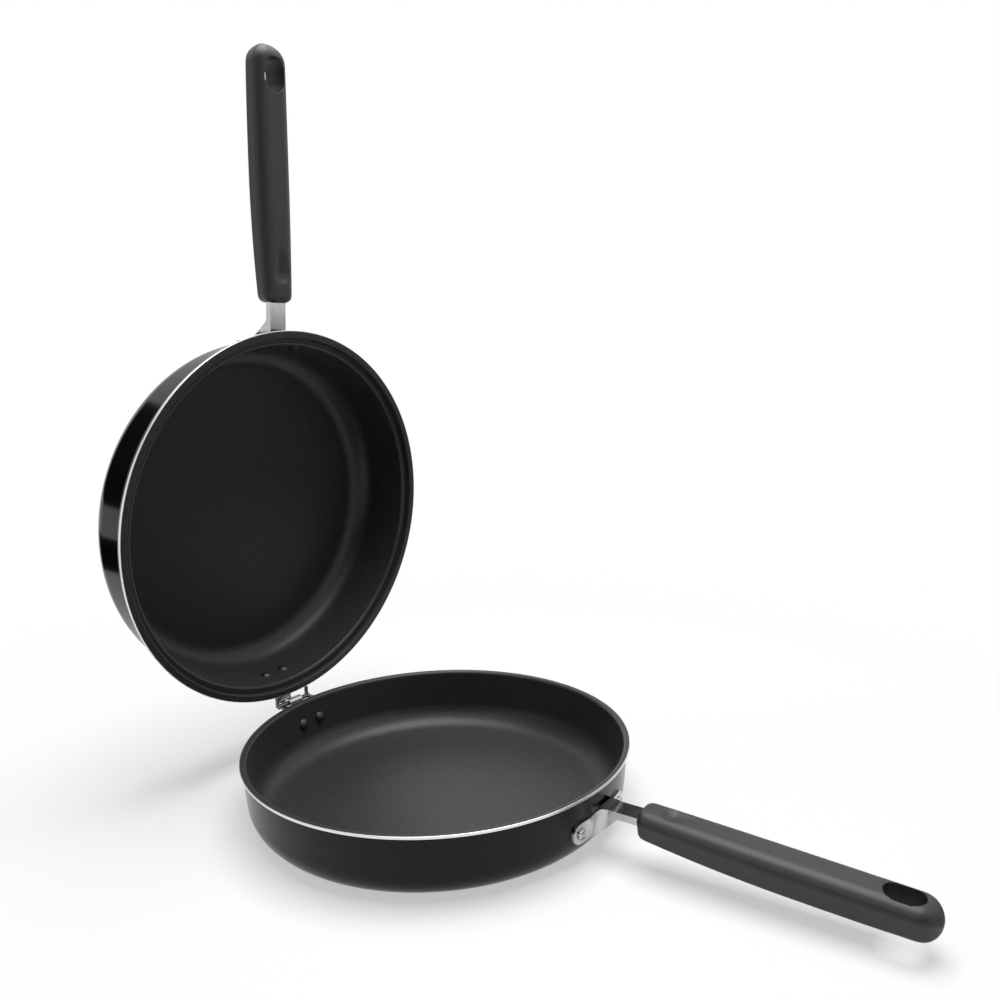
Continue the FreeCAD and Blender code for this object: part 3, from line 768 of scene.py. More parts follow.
@dataclass
class PanShell:
    """A pressed aluminium bowl, painted outside, coated inside and turned bare at its rim."""

    prefix: str
    body: Body
    place: Matrix
    height: float
    rim_radius: float
    wall_radius: float
    sheet: float = 2.6
    corner_radius: float = 19.0
    rim_round: float = 2.2
    bead_height: float = 1.8
    bead_round: float = 0.3
    edge_break: float = 0.4
    edge_middle_share: float = 0.3
    segments: int = 256
    corner_steps: int = 14
    round_steps: int = 7
    smooth_degrees: float = 32.0
    paint_roughness: tuple[float, float] = (0.16, 0.24)

    def pattern(self) -> PatternFrame:
        """Frame in which the patterns of this pan are drawn."""
        return PatternFrame(tuple(self.place.to_translation()), tuple(self.place.to_euler()))

    def outer(self, depth: float) -> float:
        """Outer radius of the wall at a depth."""
        return self.wall_radius - depth * math.tan(TILT)

    def inner(self, depth: float) -> float:
        """Inner radius of the wall at a depth."""
        return self.outer(depth) - self.sheet / math.cos(TILT)

    def corner(self, radius: float) -> list[ProfilePoint]:
        """Points of the corner between base and wall, from below upward.

        Args:
            radius: radius of the arc, the same middle serving both faces of the sheet.

        Returns:
            Radius and depth of each point.
        """
        depth = self.height - self.corner_radius
        centre = self.wall_radius - (self.corner_radius + depth * math.sin(TILT)) / math.cos(TILT)
        return arc((centre, depth), radius, QUARTER_TURN - TILT, self.corner_steps)

    def inner_round(self) -> list[ProfilePoint]:
        """Points of the round that leads from the flat at the rim down the inner wall.

        Returns:
            Radius and depth of each point.
        """
        depth = self.lip_depth() + self.rim_round
        centre = self.inner(depth) + self.rim_round / math.cos(TILT)
        return arc((centre, depth), -self.rim_round, QUARTER_TURN - TILT, self.round_steps)

    def bead(self) -> list[Run]:
        """Runs of the turned bead, from its underside to the flat on top.

        Returns:
            The painted underside, and the broken edge that is left bare.
        """
        rim, soft = self.rim_radius, self.bead_round
        middle = self.edge_break * self.edge_middle_share
        under = [(rim - soft, self.bead_height), (rim, self.bead_height - soft)]
        edge = [(rim, self.edge_break), (rim - middle, middle), (rim - self.edge_break, 0.0)]
        return [(Zone.OUTSIDE, under), (Zone.BARE, edge)]

    def lip(self) -> list[Run]:
        """Runs between the outer wall and the inner round.

        Returns:
            The runs, which here are only the bead's.
        """
        top, soft = self.bead_height, self.bead_round
        under = [(self.outer(top + soft), top + soft), (self.outer(top) + soft, top)]
        return [(Zone.OUTSIDE, under), *self.bead()]

    def lip_depth(self) -> float:
        """Depth of the flat that the inner round starts from."""
        return 0.0

    def runs(self) -> list[Run]:
        """Put together the whole profile, from the edge of the base round the rim to the floor.

        Returns:
            Its runs, in the order in which the bowl is drawn.
        """
        return [
            (Zone.OUTSIDE, self.corner(self.corner_radius)),
            *self.lip(),
            (Zone.INSIDE, self.inner_round()),
            (Zone.INSIDE, self.corner(self.corner_radius - self.sheet)[::-1]),
        ]

    def draw(self) -> Piece:
        """Draw the bowl up ring by ring from its base, and dress its zones.

        Returns:
            The closed bowl, in its own frame.
        """
        profile = [(zone, point) for zone, points in self.runs() for point in points]
        radius, depth = profile[0][1]
        piece = primitive(
            f"{self.prefix}_bowl",
            bpy.ops.mesh.primitive_circle_add,
            vertices=self.segments,
            radius=radius * MM,
            location=(0, 0, -depth * MM),
        )
        with editing(piece):
            bpy.ops.mesh.select_mode(type=Element.EDGE.value)
            bpy.ops.mesh.select_all(action="SELECT")
            for _, (next_radius, next_depth) in profile[1:]:
                bpy.ops.mesh.extrude_region_move(
                    TRANSFORM_OT_translate={"value": (0, 0, (depth - next_depth) * MM)}
                )
                share = next_radius / radius
                bpy.ops.transform.resize(
                    value=(share, share, 1), center_override=(0, 0, -next_depth * MM)
                )
                radius, depth = next_radius, next_depth
            bpy.ops.mesh.edge_face_add()
            select(piece, Element.VERTEX, lambda point: abs(point.z + self.height * MM) < NEAR)
            bpy.ops.mesh.edge_face_add()
        pattern = self.pattern()
        dress(
            piece,
            StovePaint(f"{self.prefix}_paint", pattern, roughness=self.paint_roughness).build(),
            TurnedAluminium(f"{self.prefix}_bare_edge", pattern).build(),
            NonstickCoating(f"{self.prefix}_nonstick", pattern).build(),
        )
        # The faces count up ring by ring, and the floor and the base come last.
        zones = [zone for zone, _ in profile[1:]]
        for face in piece.data.polygons:
            band = face.index // self.segments
            if band < len(zones):
                zone = zones[band]
            else:
                at_floor = face.center.z > -(self.height - self.sheet / 2) * MM
                zone = Zone.INSIDE if at_floor else Zone.OUTSIDE
            face.material_index = zone.value
        return piece

    def build(self) -> None:
        """Draw the bowl, set it on the object and hand it over."""
        piece = self.draw()
        turn_outward(piece)
        smooth_by_angle(piece, self.smooth_degrees)
        set_in_place(piece, self.place)
        hand_over(piece, self.body, f"{self.prefix}_pan_shell")


@dataclass
class LippedShell(PanShell):
    """The upper bowl, whose stepped lip drops over the lower rim."""

    paint_roughness: tuple[float, float] = (0.08, 0.14)
    lip_inner: float = 121.2
    lip_thickness: float = 3.4
    lip_step: float = 3.5
    lip_round: float = 1.0

    def lip_depth(self) -> float:
        """Depth of the ledge that seats on the lower rim."""
        return self.lip_step

    def lip(self) -> list[Run]:
        """Runs of the shoulder, the bead, the top of the lip and the step down to the ledge.

        Returns:
            The runs, from the outer wall to the ledge.
        """
        inner, thick, step, soft = self.lip_inner, self.lip_thickness, self.lip_step, self.lip_round
        foot = (self.outer(step + thick), step + thick)
        shoulder = arc((inner, step), thick, QUARTER_TURN, self.round_steps)
        top = arc((inner + soft, soft), -soft, QUARTER_TURN, self.round_steps)
        return [
            (Zone.OUTSIDE, [foot, *shoulder, (inner + thick, self.bead_height)]),
            *self.bead(),
            (Zone.INSIDE, [*top, (inner, step)]),
        ]


@dataclass
class Grip:
    """A long moulded grip with a thumb dimple, a hanging hole, a socket and a screw recess."""

    start: float = 143.0
    length: float = 156.0
    thickness: float = 19.5
    front_thickness: float = 16.5
    tip_thickness: float = 18.0
    front_width: float = 22.0
    middle_width: float = 25.6
    tip_width: float = 24.8
    bottom_width: float = 17.0
    crown_width: float = 17.0
    widest_depth: float = 5.5
    top_depth: float = 6.6
    droop_degrees: float = 2.5
    crown_round: float = 7.0
    side_round: float = 4.0
    bottom_round: float = 4.0
    front_round: float = 5.5
    front_edge_round: float = 3.5
    tip_top_round: float = 10.0
    tip_bottom_round: float = 9.0
    hole_width: float = 15.0
    hole_length: float = 20.0
    hole_inset: float = 18.5
    dimple_inset: float = 12.0
    dimple_radius: float = 12.2
    dimple_depth: float = 2.2
    dimple_length: float = 24.0
    dimple_rise_degrees: float = 7.8
    tang_depth: float = 11.8
    tang_width: float = 12.6
    tang_flange: float = 4.2
    tang_reach: float = 38.0
    socket_play: float = 0.3
    screw_inset: float = 26.0
    recess_radius: float = 4.1
    recess_depth: float = 4.0
    overrun: float = 10.0
    front_steps: int = 7
    middle_steps: int = 14
    tip_steps: int = 16
    last_tip_degrees: float = 80.0
    voxel: float = 0.42

    def between(self, front: float, middle: float, tip: float, along: float) -> float:
        """A width or thickness on the way along, before the ends are rounded.

        Args:
            front: its value at the front.
            middle: its value halfway.
            tip: its value at the tip.
            along: distance from the front.

        Returns:
            Its value at that distance.
        """
        halfway = self.length / 2
        end = front if along < halfway else tip
        share = abs(along - halfway) / halfway
        return middle + (end - middle) * share**2

    def thickness_at(self, along: float) -> float:
        """Thickness at a distance from the front."""
        return self.between(self.front_thickness, self.thickness, self.tip_thickness, along)

    @staticmethod
    def round_off(distance: float, radius: float) -> float:
        """How far a quarter round draws an edge in, at a distance from the end."""
        short = max(0.0, radius - distance)
        return radius - math.sqrt(radius**2 - short**2)

    def section(self, along: float) -> Section:
        """Size of the grip's section.

        Args:
            along: distance from the front.

        Returns:
            Half width, top and bottom.
        """
        from_tip = self.length - along
        half = (
            self.between(self.front_width, self.middle_width, self.tip_width, along) / 2
            - self.round_off(along, self.front_round)
            - self.round_off(from_tip, self.tip_width / 2)
        )
        front = self.round_off(along, self.front_edge_round)
        top = -front - self.round_off(from_tip, self.tip_top_round)
        bottom = front + self.round_off(from_tip, self.tip_bottom_round) - self.thickness_at(along)
        return half, top, bottom

    def stations(self) -> list[float]:
        """Distances from the front at which the grip is drawn on.

        Returns:
            The distances, close together where the ends are rounded.
        """
        soft = self.front_round
        tip_round = self.tip_width / 2
        tip_start = self.length - tip_round
        last = math.radians(self.last_tip_degrees)
        front = [
            soft * (1 - math.cos(QUARTER_TURN * step / self.front_steps))
            for step in range(self.front_steps + 1)
        ]
        middle = [
            soft + (tip_start - soft) * step / self.middle_steps
            for step in range(1, self.middle_steps + 1)
        ]
        tip = [
            tip_start + tip_round * math.sin(last * step / self.tip_steps)
            for step in range(1, self.tip_steps + 1)
        ]
        return front + middle + tip

    def draw_section(self) -> Piece:
        """Shape a hexagon into the grip's full section, at the grip's front.

        Returns:
            The section, a flat face.
        """
        piece = primitive(
            "grip_model",
            bpy.ops.mesh.primitive_circle_add,
            vertices=6,
            radius=self.thickness * MM,
            fill_type="NGON",
            rotation=(0, QUARTER_TURN, 0),
        )
        clear = self.thickness / 2 * MM
        crown = (self.crown_width / 2, 0.0)
        widest = (self.middle_width / 2, -self.widest_depth)
        low = (self.bottom_width / 2, -self.thickness)
        pairs = (
            (widest, lambda point: abs(point.z) < clear),
            (crown, lambda point: point.z > clear),
            (low, lambda point: point.z < -clear),
        )
        outline = [Vector(point) for point in ((0.0, 0.0), crown, widest, low, (0.0, low[1]))]
        rounds = (self.crown_round, self.side_round, self.bottom_round)
        with editing(piece):
            for (half, height), test in pairs:
                select(piece, Element.VERTEX, test)
                mesh = bmesh.from_edit_mesh(piece.data)
                old = next(vertex.co.copy() for vertex in mesh.verts if vertex.select)
                bpy.ops.transform.translate(value=(0, 0, height * MM - old.z))
                bpy.ops.transform.resize(
                    value=(1, half * MM / abs(old.y), 1), center_override=(0, 0, height * MM)
                )
            for before, corner, after, radius in zip(outline, outline[1:], outline[2:], rounds):
                half_turn = (before - corner).angle(after - corner) / 2
                select(piece, Element.VERTEX, lambda point: abs(point.z - corner.y * MM) < NEAR)
                bpy.ops.mesh.bevel(
                    affect="VERTICES",
                    offset_type="OFFSET",
                    offset=radius / math.tan(half_turn) * MM,
                    segments=8,
                    profile=0.5,
                )
        return piece

    @staticmethod
    def reshape(old: Section, new: Section, along: float) -> None:
        """Give the selected section another size.

        Args:
            old: its half width, top and bottom so far.
            new: those that it gets.
            along: its distance from the front.
        """
        bpy.ops.transform.resize(
            value=(1, new[0] / old[0], (new[1] - new[2]) / (old[1] - old[2])),
            center_override=(along * MM, 0, old[1] * MM),
        )
        bpy.ops.transform.translate(value=(0, 0, (new[1] - old[1]) * MM))

    def draw_body(self) -> Piece:
        """Extrude the section from station to station, following the grip's outline.

        Returns:
            The closed grip, without its cuts.
        """
        piece = self.draw_section()
        stations = self.stations()
        with editing(piece):
            bpy.ops.mesh.select_all(action="SELECT")
            full = (self.middle_width / 2, 0.0, -self.thickness)
            self.reshape(full, self.section(stations[0]), stations[0])
            bpy.ops.mesh.select_mode(type=Element.FACE.value)
            for before, after in zip(stations, stations[1:]):
                bpy.ops.mesh.extrude_region_move(
                    TRANSFORM_OT_translate={"value": ((after - before) * MM, 0, 0)}
                )
                self.reshape(self.section(before), self.section(after), after)
        turn_outward(piece)
        return piece

    def hole_cutter(self) -> Piece:
        """Shape the oval cutter for the hanging hole.

        Returns:
            The cutter, through the whole thickness.
        """
        middle = (self.length - self.hole_inset) * MM
        pull = (self.hole_length - self.hole_width) / 2 * MM
        cutter = primitive(
            "hole_cutter",
            bpy.ops.mesh.primitive_cylinder_add,
            vertices=64,
            radius=self.hole_width / 2 * MM,
            depth=(self.thickness + 2 * self.overrun) * MM,
            location=(middle, 0, -self.thickness / 2 * MM),
        )
        with editing(cutter):
            for side in (-1, 1):
                select(cutter, Element.VERTEX, lambda point: side * (point.x - middle) > NEAR)
                bpy.ops.transform.translate(value=(side * pull, 0, 0))
        return cutter

    def dimple_cutter(self) -> Piece:
        """Shape the round ended cutter for the thumb dimple.

        Returns:
            The cutter, which leaves the grip towards the tip.
        """
        radius, depth = self.dimple_radius, self.dimple_depth
        half = math.sqrt(2 * radius * depth - depth**2)
        centre = Vector((self.dimple_inset + half, 0, radius - depth)) * MM
        cutter = primitive(
            "dimple_cutter",
            bpy.ops.mesh.primitive_uv_sphere_add,
            segments=96,
            ring_count=48,
            radius=radius * MM,
            location=centre,
        )
        rise = math.radians(self.dimple_rise_degrees)
        reach = Vector((math.cos(rise), 0, math.sin(rise))) * self.dimple_length * MM
        with editing(cutter):
            select(cutter, Element.VERTEX, lambda point: point.x - centre.x > NEAR)
            bpy.ops.transform.translate(value=reach)
        return cutter

    def socket_cutter(self) -> Piece:
        """Shape the box cutter for the socket that the tang sits in.

        Returns:
            The cutter, in the grip's drooping frame.
        """
        middle_x = self.start + (self.tang_reach - self.overrun) / 2
        middle = Vector((middle_x, 0, -self.tang_depth - self.tang_flange / 2)) * MM
        wide, high = self.tang_width + self.socket_play, self.tang_flange + self.socket_play
        size = Vector((self.tang_reach + self.overrun, wide, high)) * MM
        place = Matrix.Translation(middle) @ Matrix.Diagonal((*size, 1))
        return primitive(
            "socket_cutter",
            bpy.ops.mesh.primitive_cube_add,
            self.local_place().inverted() @ place,
            size=1,
        )

    def recess_cutter(self) -> Piece:
        """Shape the cutter for the screw's recess in the underside.

        Returns:
            The cutter, in the grip's drooping frame.
        """
        droop = math.radians(self.droop_degrees)
        under = self.top_depth + self.thickness_at(self.screw_inset) / math.cos(droop)
        under += self.screw_inset * math.tan(droop)
        middle = -under + self.recess_depth - self.overrun / 2
        spot = Matrix.Translation(((self.start + self.screw_inset) * MM, 0, middle * MM))
        return primitive(
            "recess_cutter",
            bpy.ops.mesh.primitive_cylinder_add,
            self.local_place().inverted() @ spot,
            vertices=48,
            radius=self.recess_radius * MM,
            depth=self.overrun * MM,
        )

    def local_place(self) -> Matrix:
        """Place of the grip's own frame in its pan's frame."""
        move = Matrix.Translation((self.start * MM, 0, -self.top_depth * MM))
        return move @ Matrix.Rotation(math.radians(self.droop_degrees), 4, "Y")

    def model(self) -> Piece:
        """Draw the grip, cut it and soften its edges as a mould does.

        Returns:
            The finished shape, in its own frame.
        """
        piece = self.draw_body()
        for shape in (self.hole_cutter, self.dimple_cutter, self.socket_cutter, self.recess_cutter):
            cut_away(piece, shape())
        finish_with(piece, "REMESH", mode="VOXEL", voxel_size=self.voxel * MM)
        finish_with(piece, "SMOOTH", factor=0.5, iterations=5)
        activate(piece)
        bpy.ops.object.shade_smooth()
        return piece

    def fit(self, model: Piece, shell: PanShell) -> None:
        """Push a copy of the grip on a pan's tang.

        Args:
            model: the grip that is copied.
            shell: the pan's bowl.
        """
        piece = copy_of(model, f"{shell.prefix}_moulded_grip")
        dress(piece, MouldedPhenolic(f"{shell.prefix}_phenolic", shell.pattern()).build())
        set_in_place(piece, shell.place @ self.local_place())
        hand_over(piece, shell.body, f"{shell.prefix}_grip")


@dataclass
class PressedPart:
    """A stamped and bent sheet part, taken from its solid with its edges broken."""

    name: str
    node: str
    body: Body
    slot: Slot
    finish: Finish
    edge: float = 0.22
    weld: float = 0.002
    flat_degrees: float = 0.6
    sharp_degrees: float = 40.0
    smooth_degrees: float = 35.0

    def build(self) -> None:
        """Copy the solid, weld it, break its sharp edges and hand it over."""
        piece = bpy.data.objects.new(self.name, frame["nodes"][self.node].data.copy())
        bpy.context.scene.collection.objects.link(piece)
        with editing(piece):
            bpy.ops.mesh.select_all(action="SELECT")
            bpy.ops.mesh.customdata_custom_splitnormals_clear()
            bpy.ops.mesh.remove_doubles(threshold=self.weld * MM)
            bpy.ops.mesh.dissolve_limited(angle_limit=math.radians(self.flat_degrees))
        finish_with(
            piece,
            "BEVEL",
            width=self.edge * MM,
            segments=2,
            limit_method="ANGLE",
            angle_limit=math.radians(self.sharp_degrees),
            use_clamp_overlap=True,
            harden_normals=False,
        )
        smooth_by_angle(piece, self.smooth_degrees)
        dress(piece, self.finish.build())
        hand_over(piece, self.body, self.node)


@dataclass
class Rivet:
    """A rivet with a black domed head inside the pan and a squarish bright tail outside.

    The ring in the tail is stamped in steps, each with its width and its rise.
    """

    radius: float = 2.0
    head_radius: float = 3.9
    head_height: float = 1.9
    head_edge_round: float = 0.3
    tail_width: float = 5.6
    tail_height: float = 1.3
    tail_round: float = 1.4
    tail_edge_round: float = 0.35
    tail_ring: tuple[tuple[float, float], ...] = ((0.45, -0.3), (0.4, 0.3), (0.35, 0.0))
    shank_edge: float = 0.1
    shank_share: float = 0.25
    wall_gap: float = 0.12
    stack: float = 4.39
    smooth_degrees: float = 40.0

    def head(self) -> Piece:
        """Cut the domed head from a sphere, with a soft brim.

        Returns:
            The head, on the wall's inner face at z = 0.
        """
        dome = (self.head_radius**2 + self.head_height**2) / (2 * self.head_height)
        seat = -self.wall_gap * MM
        middle = (dome - self.wall_gap - self.head_height) * MM
        piece = primitive(
            "rivet_model",
            bpy.ops.mesh.primitive_uv_sphere_add,
            Matrix.Translation((0, 0, middle)),
            segments=64,
            ring_count=48,
            radius=dome * MM,
        )
        with editing(piece):
            bpy.ops.mesh.select_all(action="SELECT")
            bpy.ops.mesh.bisect(
                plane_co=(0, 0, seat), plane_no=(0, 0, 1), clear_outer=True, use_fill=True
            )
            select(piece, Element.EDGE, lambda point: abs(point.z - seat) < NEAR)
            bpy.ops.mesh.bevel(offset=self.head_edge_round * MM, segments=3, affect="EDGES")
        return piece

    def tail(self) -> Piece:
        """Shape the clenched tail, a squarish button with a ring stamped in its top.

        Returns:
            The tail, on top of the sheets that the rivet holds.
        """
        middle = (self.stack + self.tail_height / 2) * MM
        top = (self.stack + self.tail_height) * MM
        size = Vector((self.tail_width, self.tail_width, self.tail_height)) * MM
        piece = primitive(
            "rivet_model_tail",
            bpy.ops.mesh.primitive_cube_add,
            Matrix.Translation((0, 0, middle)) @ Matrix.Diagonal((*size, 1)),
            size=1,
        )
        with editing(piece):
            select(piece, Element.EDGE, lambda point: abs(point.z - middle) < NEAR)
            bpy.ops.mesh.bevel(offset=self.tail_round * MM, segments=8, affect="EDGES")
            select(piece, Element.EDGE, lambda point: abs(point.z - top) < NEAR)
            bpy.ops.mesh.bevel(offset=self.tail_edge_round * MM, segments=4, affect="EDGES")
            select(piece, Element.FACE, lambda point: (point - Vector((0, 0, top))).length < NEAR)
            for width, rise in self.tail_ring:
                bpy.ops.mesh.inset(thickness=width * MM, depth=0)
                bpy.ops.transform.translate(value=(0, 0, rise * MM))
        return piece

    def shank(self) -> Piece:
        """Shape the shank between head and tail, out of sight in its hole.

        Returns:
            The shank, which ends inside the tail.
        """
        low, high = -self.wall_gap, self.stack + self.tail_height * self.shank_share
        piece = primitive(
            "rivet_model_shank",
            bpy.ops.mesh.primitive_cylinder_add,
            Matrix.Translation((0, 0, (low + high) / 2 * MM)),
            vertices=32,
            radius=self.radius * MM,
            depth=(high - low) * MM,
        )
        with editing(piece):
            bpy.ops.mesh.select_mode(type=Element.FACE.value)
            bpy.ops.mesh.select_all(action="SELECT")
            bpy.ops.mesh.bevel(offset=self.shank_edge * MM, segments=1, affect="EDGES")
        return piece

    def model(self) -> Piece:
        """Shape head, shank and tail, dress them and join them.

        Returns:
            The rivet, with its head below z = 0 and its tail above.
        """
        head, shank, tail = self.head(), self.shank(), self.tail()
        # The heads' paint is duller than the bowls' but fuller, so their shine is broad and clear.
        dress(head, StovePaint("rivet_paint", roughness=(0.37, 0.43), specular=0.62).build())
        steel = RolledSteel("rivet_tail").build()
        dress(shank, steel)
        dress(tail, steel)
        piece = join([head, shank, tail])
        turn_outward(piece)
        smooth_by_angle(piece, self.smooth_degrees)
        return piece

    def fit(self, model: Piece, node: str, shell: PanShell, spot: Matrix) -> None:
        """Set a copy of the rivet in a pan's wall.

        Args:
            model: the rivet that is copied.
            node: name of the solid that the copy stands for.
            shell: the pan's bowl.
            spot: the rivet's place in the pan's frame.
        """
        piece = copy_of(model, f"{node}.set")
        set_in_place(piece, shell.place @ spot)
        hand_over(piece, shell.body, node)


@dataclass
class FlipPan:
    """The whole object: two pans with their handles and the hinge between them."""

    hinge: Hinge
    lower_height: float = 41.5
    upper_height: float = 49.0
    lower_rim_radius: float = 120.0
    upper_rim_radius: float = 126.0
    lower_wall_radius: float = 118.6
    upper_wall_radius: float = 119.25
    lip_overlap: float = 3.2
    hinge_rivet_pitch: float = 15.6
    hinge_rivet_depths: dict[Body, float] = field(
        default_factory=lambda: {Body.LOWER: 15.7, Body.UPPER: 18.4}
    )
    wing_rivet_offset: float = 21.0
    wing_rivet_depth: float = 21.3

    def shells(self) -> tuple[PanShell, PanShell]:
        """Lay out the two bowls.

        Returns:
            The lower and the upper bowl, each with its place on the whole object.
        """
        lower = PanShell(
            "lower",
            Body.LOWER,
            self.hinge.lower_place(self.lower_height * MM),
            self.lower_height,
            self.lower_rim_radius,
            self.lower_wall_radius,
        )
        upper = LippedShell(
            "upper",
            Body.UPPER,
            self.hinge.upper_place((self.lower_height - self.lip_overlap) * MM),
            self.upper_height,
            self.upper_rim_radius,
            self.upper_wall_radius,
        )
        return lower, upper

    def rivet_place(self, shell: PanShell, sideways: float, depth: float) -> Matrix:
        """Place of a rivet in its pan's frame, at the handle's side of the pan.

        Args:
            shell: the pan's bowl.
            sideways: how far the rivet is from the handle's middle.
            depth: its depth below the rim plane.

        Returns:
            Its place on the wall's inner face, with +Z out through the wall.
        """
        radius = shell.outer(depth)
        point = Vector((math.sqrt(radius**2 - sideways**2), sideways, -depth))
        flat = Vector((point.x, point.y, 0)).normalized()
        normal = flat * math.cos(TILT) - Vector((0, 0, math.sin(TILT)))
        foot = (point - normal * shell.sheet) * MM
        turn = Vector((0, 0, 1)).rotation_difference(normal)
        return Matrix.Translation(foot) @ turn.to_matrix().to_4x4()

    def set_rivets(self, model: Piece, shell: PanShell) -> None:
        """Set a pan's two handle rivets and its two hinge rivets.

        Args:
            model: the rivet that is copied.
            shell: the pan's bowl.
        """
        rivet = Rivet()
        back = Matrix.Rotation(math.pi, 4, "Z")
        depth = self.hinge_rivet_depths[shell.body]
        for label, side in (("right", -1), ("left", 1)):
            spot = self.rivet_place(shell, side * self.wing_rivet_offset, self.wing_rivet_depth)
            rivet.fit(model, f"{shell.prefix}_handle_rivet_{label}", shell, spot)
        for label, side in (("left", -1), ("right", 1)):
            spot = self.rivet_place(shell, side * self.hinge_rivet_pitch / 2, depth)
            rivet.fit(model, f"{shell.prefix}_hinge_rivet_{label}", shell, back @ spot)

    def build(self) -> None:
        """Build both pans with all their fittings."""
        lower, upper = self.shells()
        lower.build()
        upper.build()
        grip = Grip()
        grip_model = grip.model()
        rivet_model = Rivet().model()
        for shell in (lower, upper):
            grip.fit(grip_model, shell)
            PressedPart(
                f"{shell.prefix}_pressed_bracket",
                f"{shell.prefix}_handle_bracket",
                shell.body,
                Slot.BRACKET,
                RolledSteel(f"{shell.prefix}_bracket_steel", shell.pattern(), roughness=(0.1, 0.22)),
            ).build()
            self.set_rivets(rivet_model, shell)
        for model in (grip_model, rivet_model):
            bpy.data.objects.remove(model)
        # The slotted plate is only tumbled, so it is darker and duller than the hook.
        dull = RolledSteel(
            "slotted_plate_steel",
            lower.pattern(),
            colours=("#74726F", "#575553"),
            roughness=(0.28, 0.34),
        )
        bright = RolledSteel("curled_hook_steel", upper.pattern())
        PressedPart("slotted_plate", "lower_hinge_plate", Body.LOWER, Slot.HINGE, dull).build()
        PressedPart("curled_hook", "upper_hinge_hook", Body.UPPER, Slot.HINGE, bright).build()
        # The screws and washers are plated with a thin coat of zinc, which makes them bluer.
        zinc = RolledSteel("zinc_plate", colours=("#C9CCD0", "#9EA3A8")).build()
        for prefix in (lower.prefix, upper.prefix):
            for part in ("grip_screw", "grip_washer"):
                dress(frame["nodes"][f"{prefix}_{part}"], zinc)
                LOG.info("%s_%s: solid kept, zinc plated", prefix, part)


# Studio


@dataclass(frozen=True)
class Lamp:
    """A soft box: where it hangs, what it points at, its size and power, in metres and watts."""

    name: str
    place: tuple[float, float, float]
    target: tuple[float, float, float]
    size: tuple[float, float]
    power: float
    mirrored: bool = True

    def build(self) -> None:
        """Hang the lamp."""
        data = bpy.data.lights.new(self.name, "AREA")
        data.shape = "RECTANGLE"
        data.size, data.size_y = self.size
        data.energy = self.power
        lamp = bpy.data.objects.new(self.name, data)
        bpy.context.scene.collection.objects.link(lamp)
        lamp.location = self.place
        aim = Vector(self.target) - Vector(self.place)
        lamp.rotation_euler = aim.to_track_quat("-Z", "Y").to_euler()
        lamp.visible_glossy = self.mirrored


@dataclass(frozen=True)
class DarkCard:
    """A felt card that gloss reflects, out of the picture and of the light's way, in metres."""

    name: str
    place: tuple[float, float, float]
    target: tuple[float, float, float]
    size: tuple[float, float]
    colour: str = "#1C1C1C"

    def build(self) -> None:
        """Stand the card up."""
        aim = Vector(self.target) - Vector(self.place)
        turn = aim.to_track_quat("-Z", "Y").to_matrix().to_4x4()
        place = Matrix.Translation(self.place) @ turn @ Matrix.Diagonal((*self.size, 1, 1))
        card = primitive(self.name, bpy.ops.mesh.primitive_plane_add, place, size=1)
        material = bpy.data.materials.new(self.name)
        tree = empty_tree(material)
        felt = add_node(tree, "ShaderNodeBsdfDiffuse", {"Color": linear(self.colour)})
        add_node(tree, "ShaderNodeOutputMaterial", {"Surface": felt.outputs[0]})
        dress(card, material)
        card.visible_camera = False
        card.visible_diffuse = False
        card.visible_shadow = False


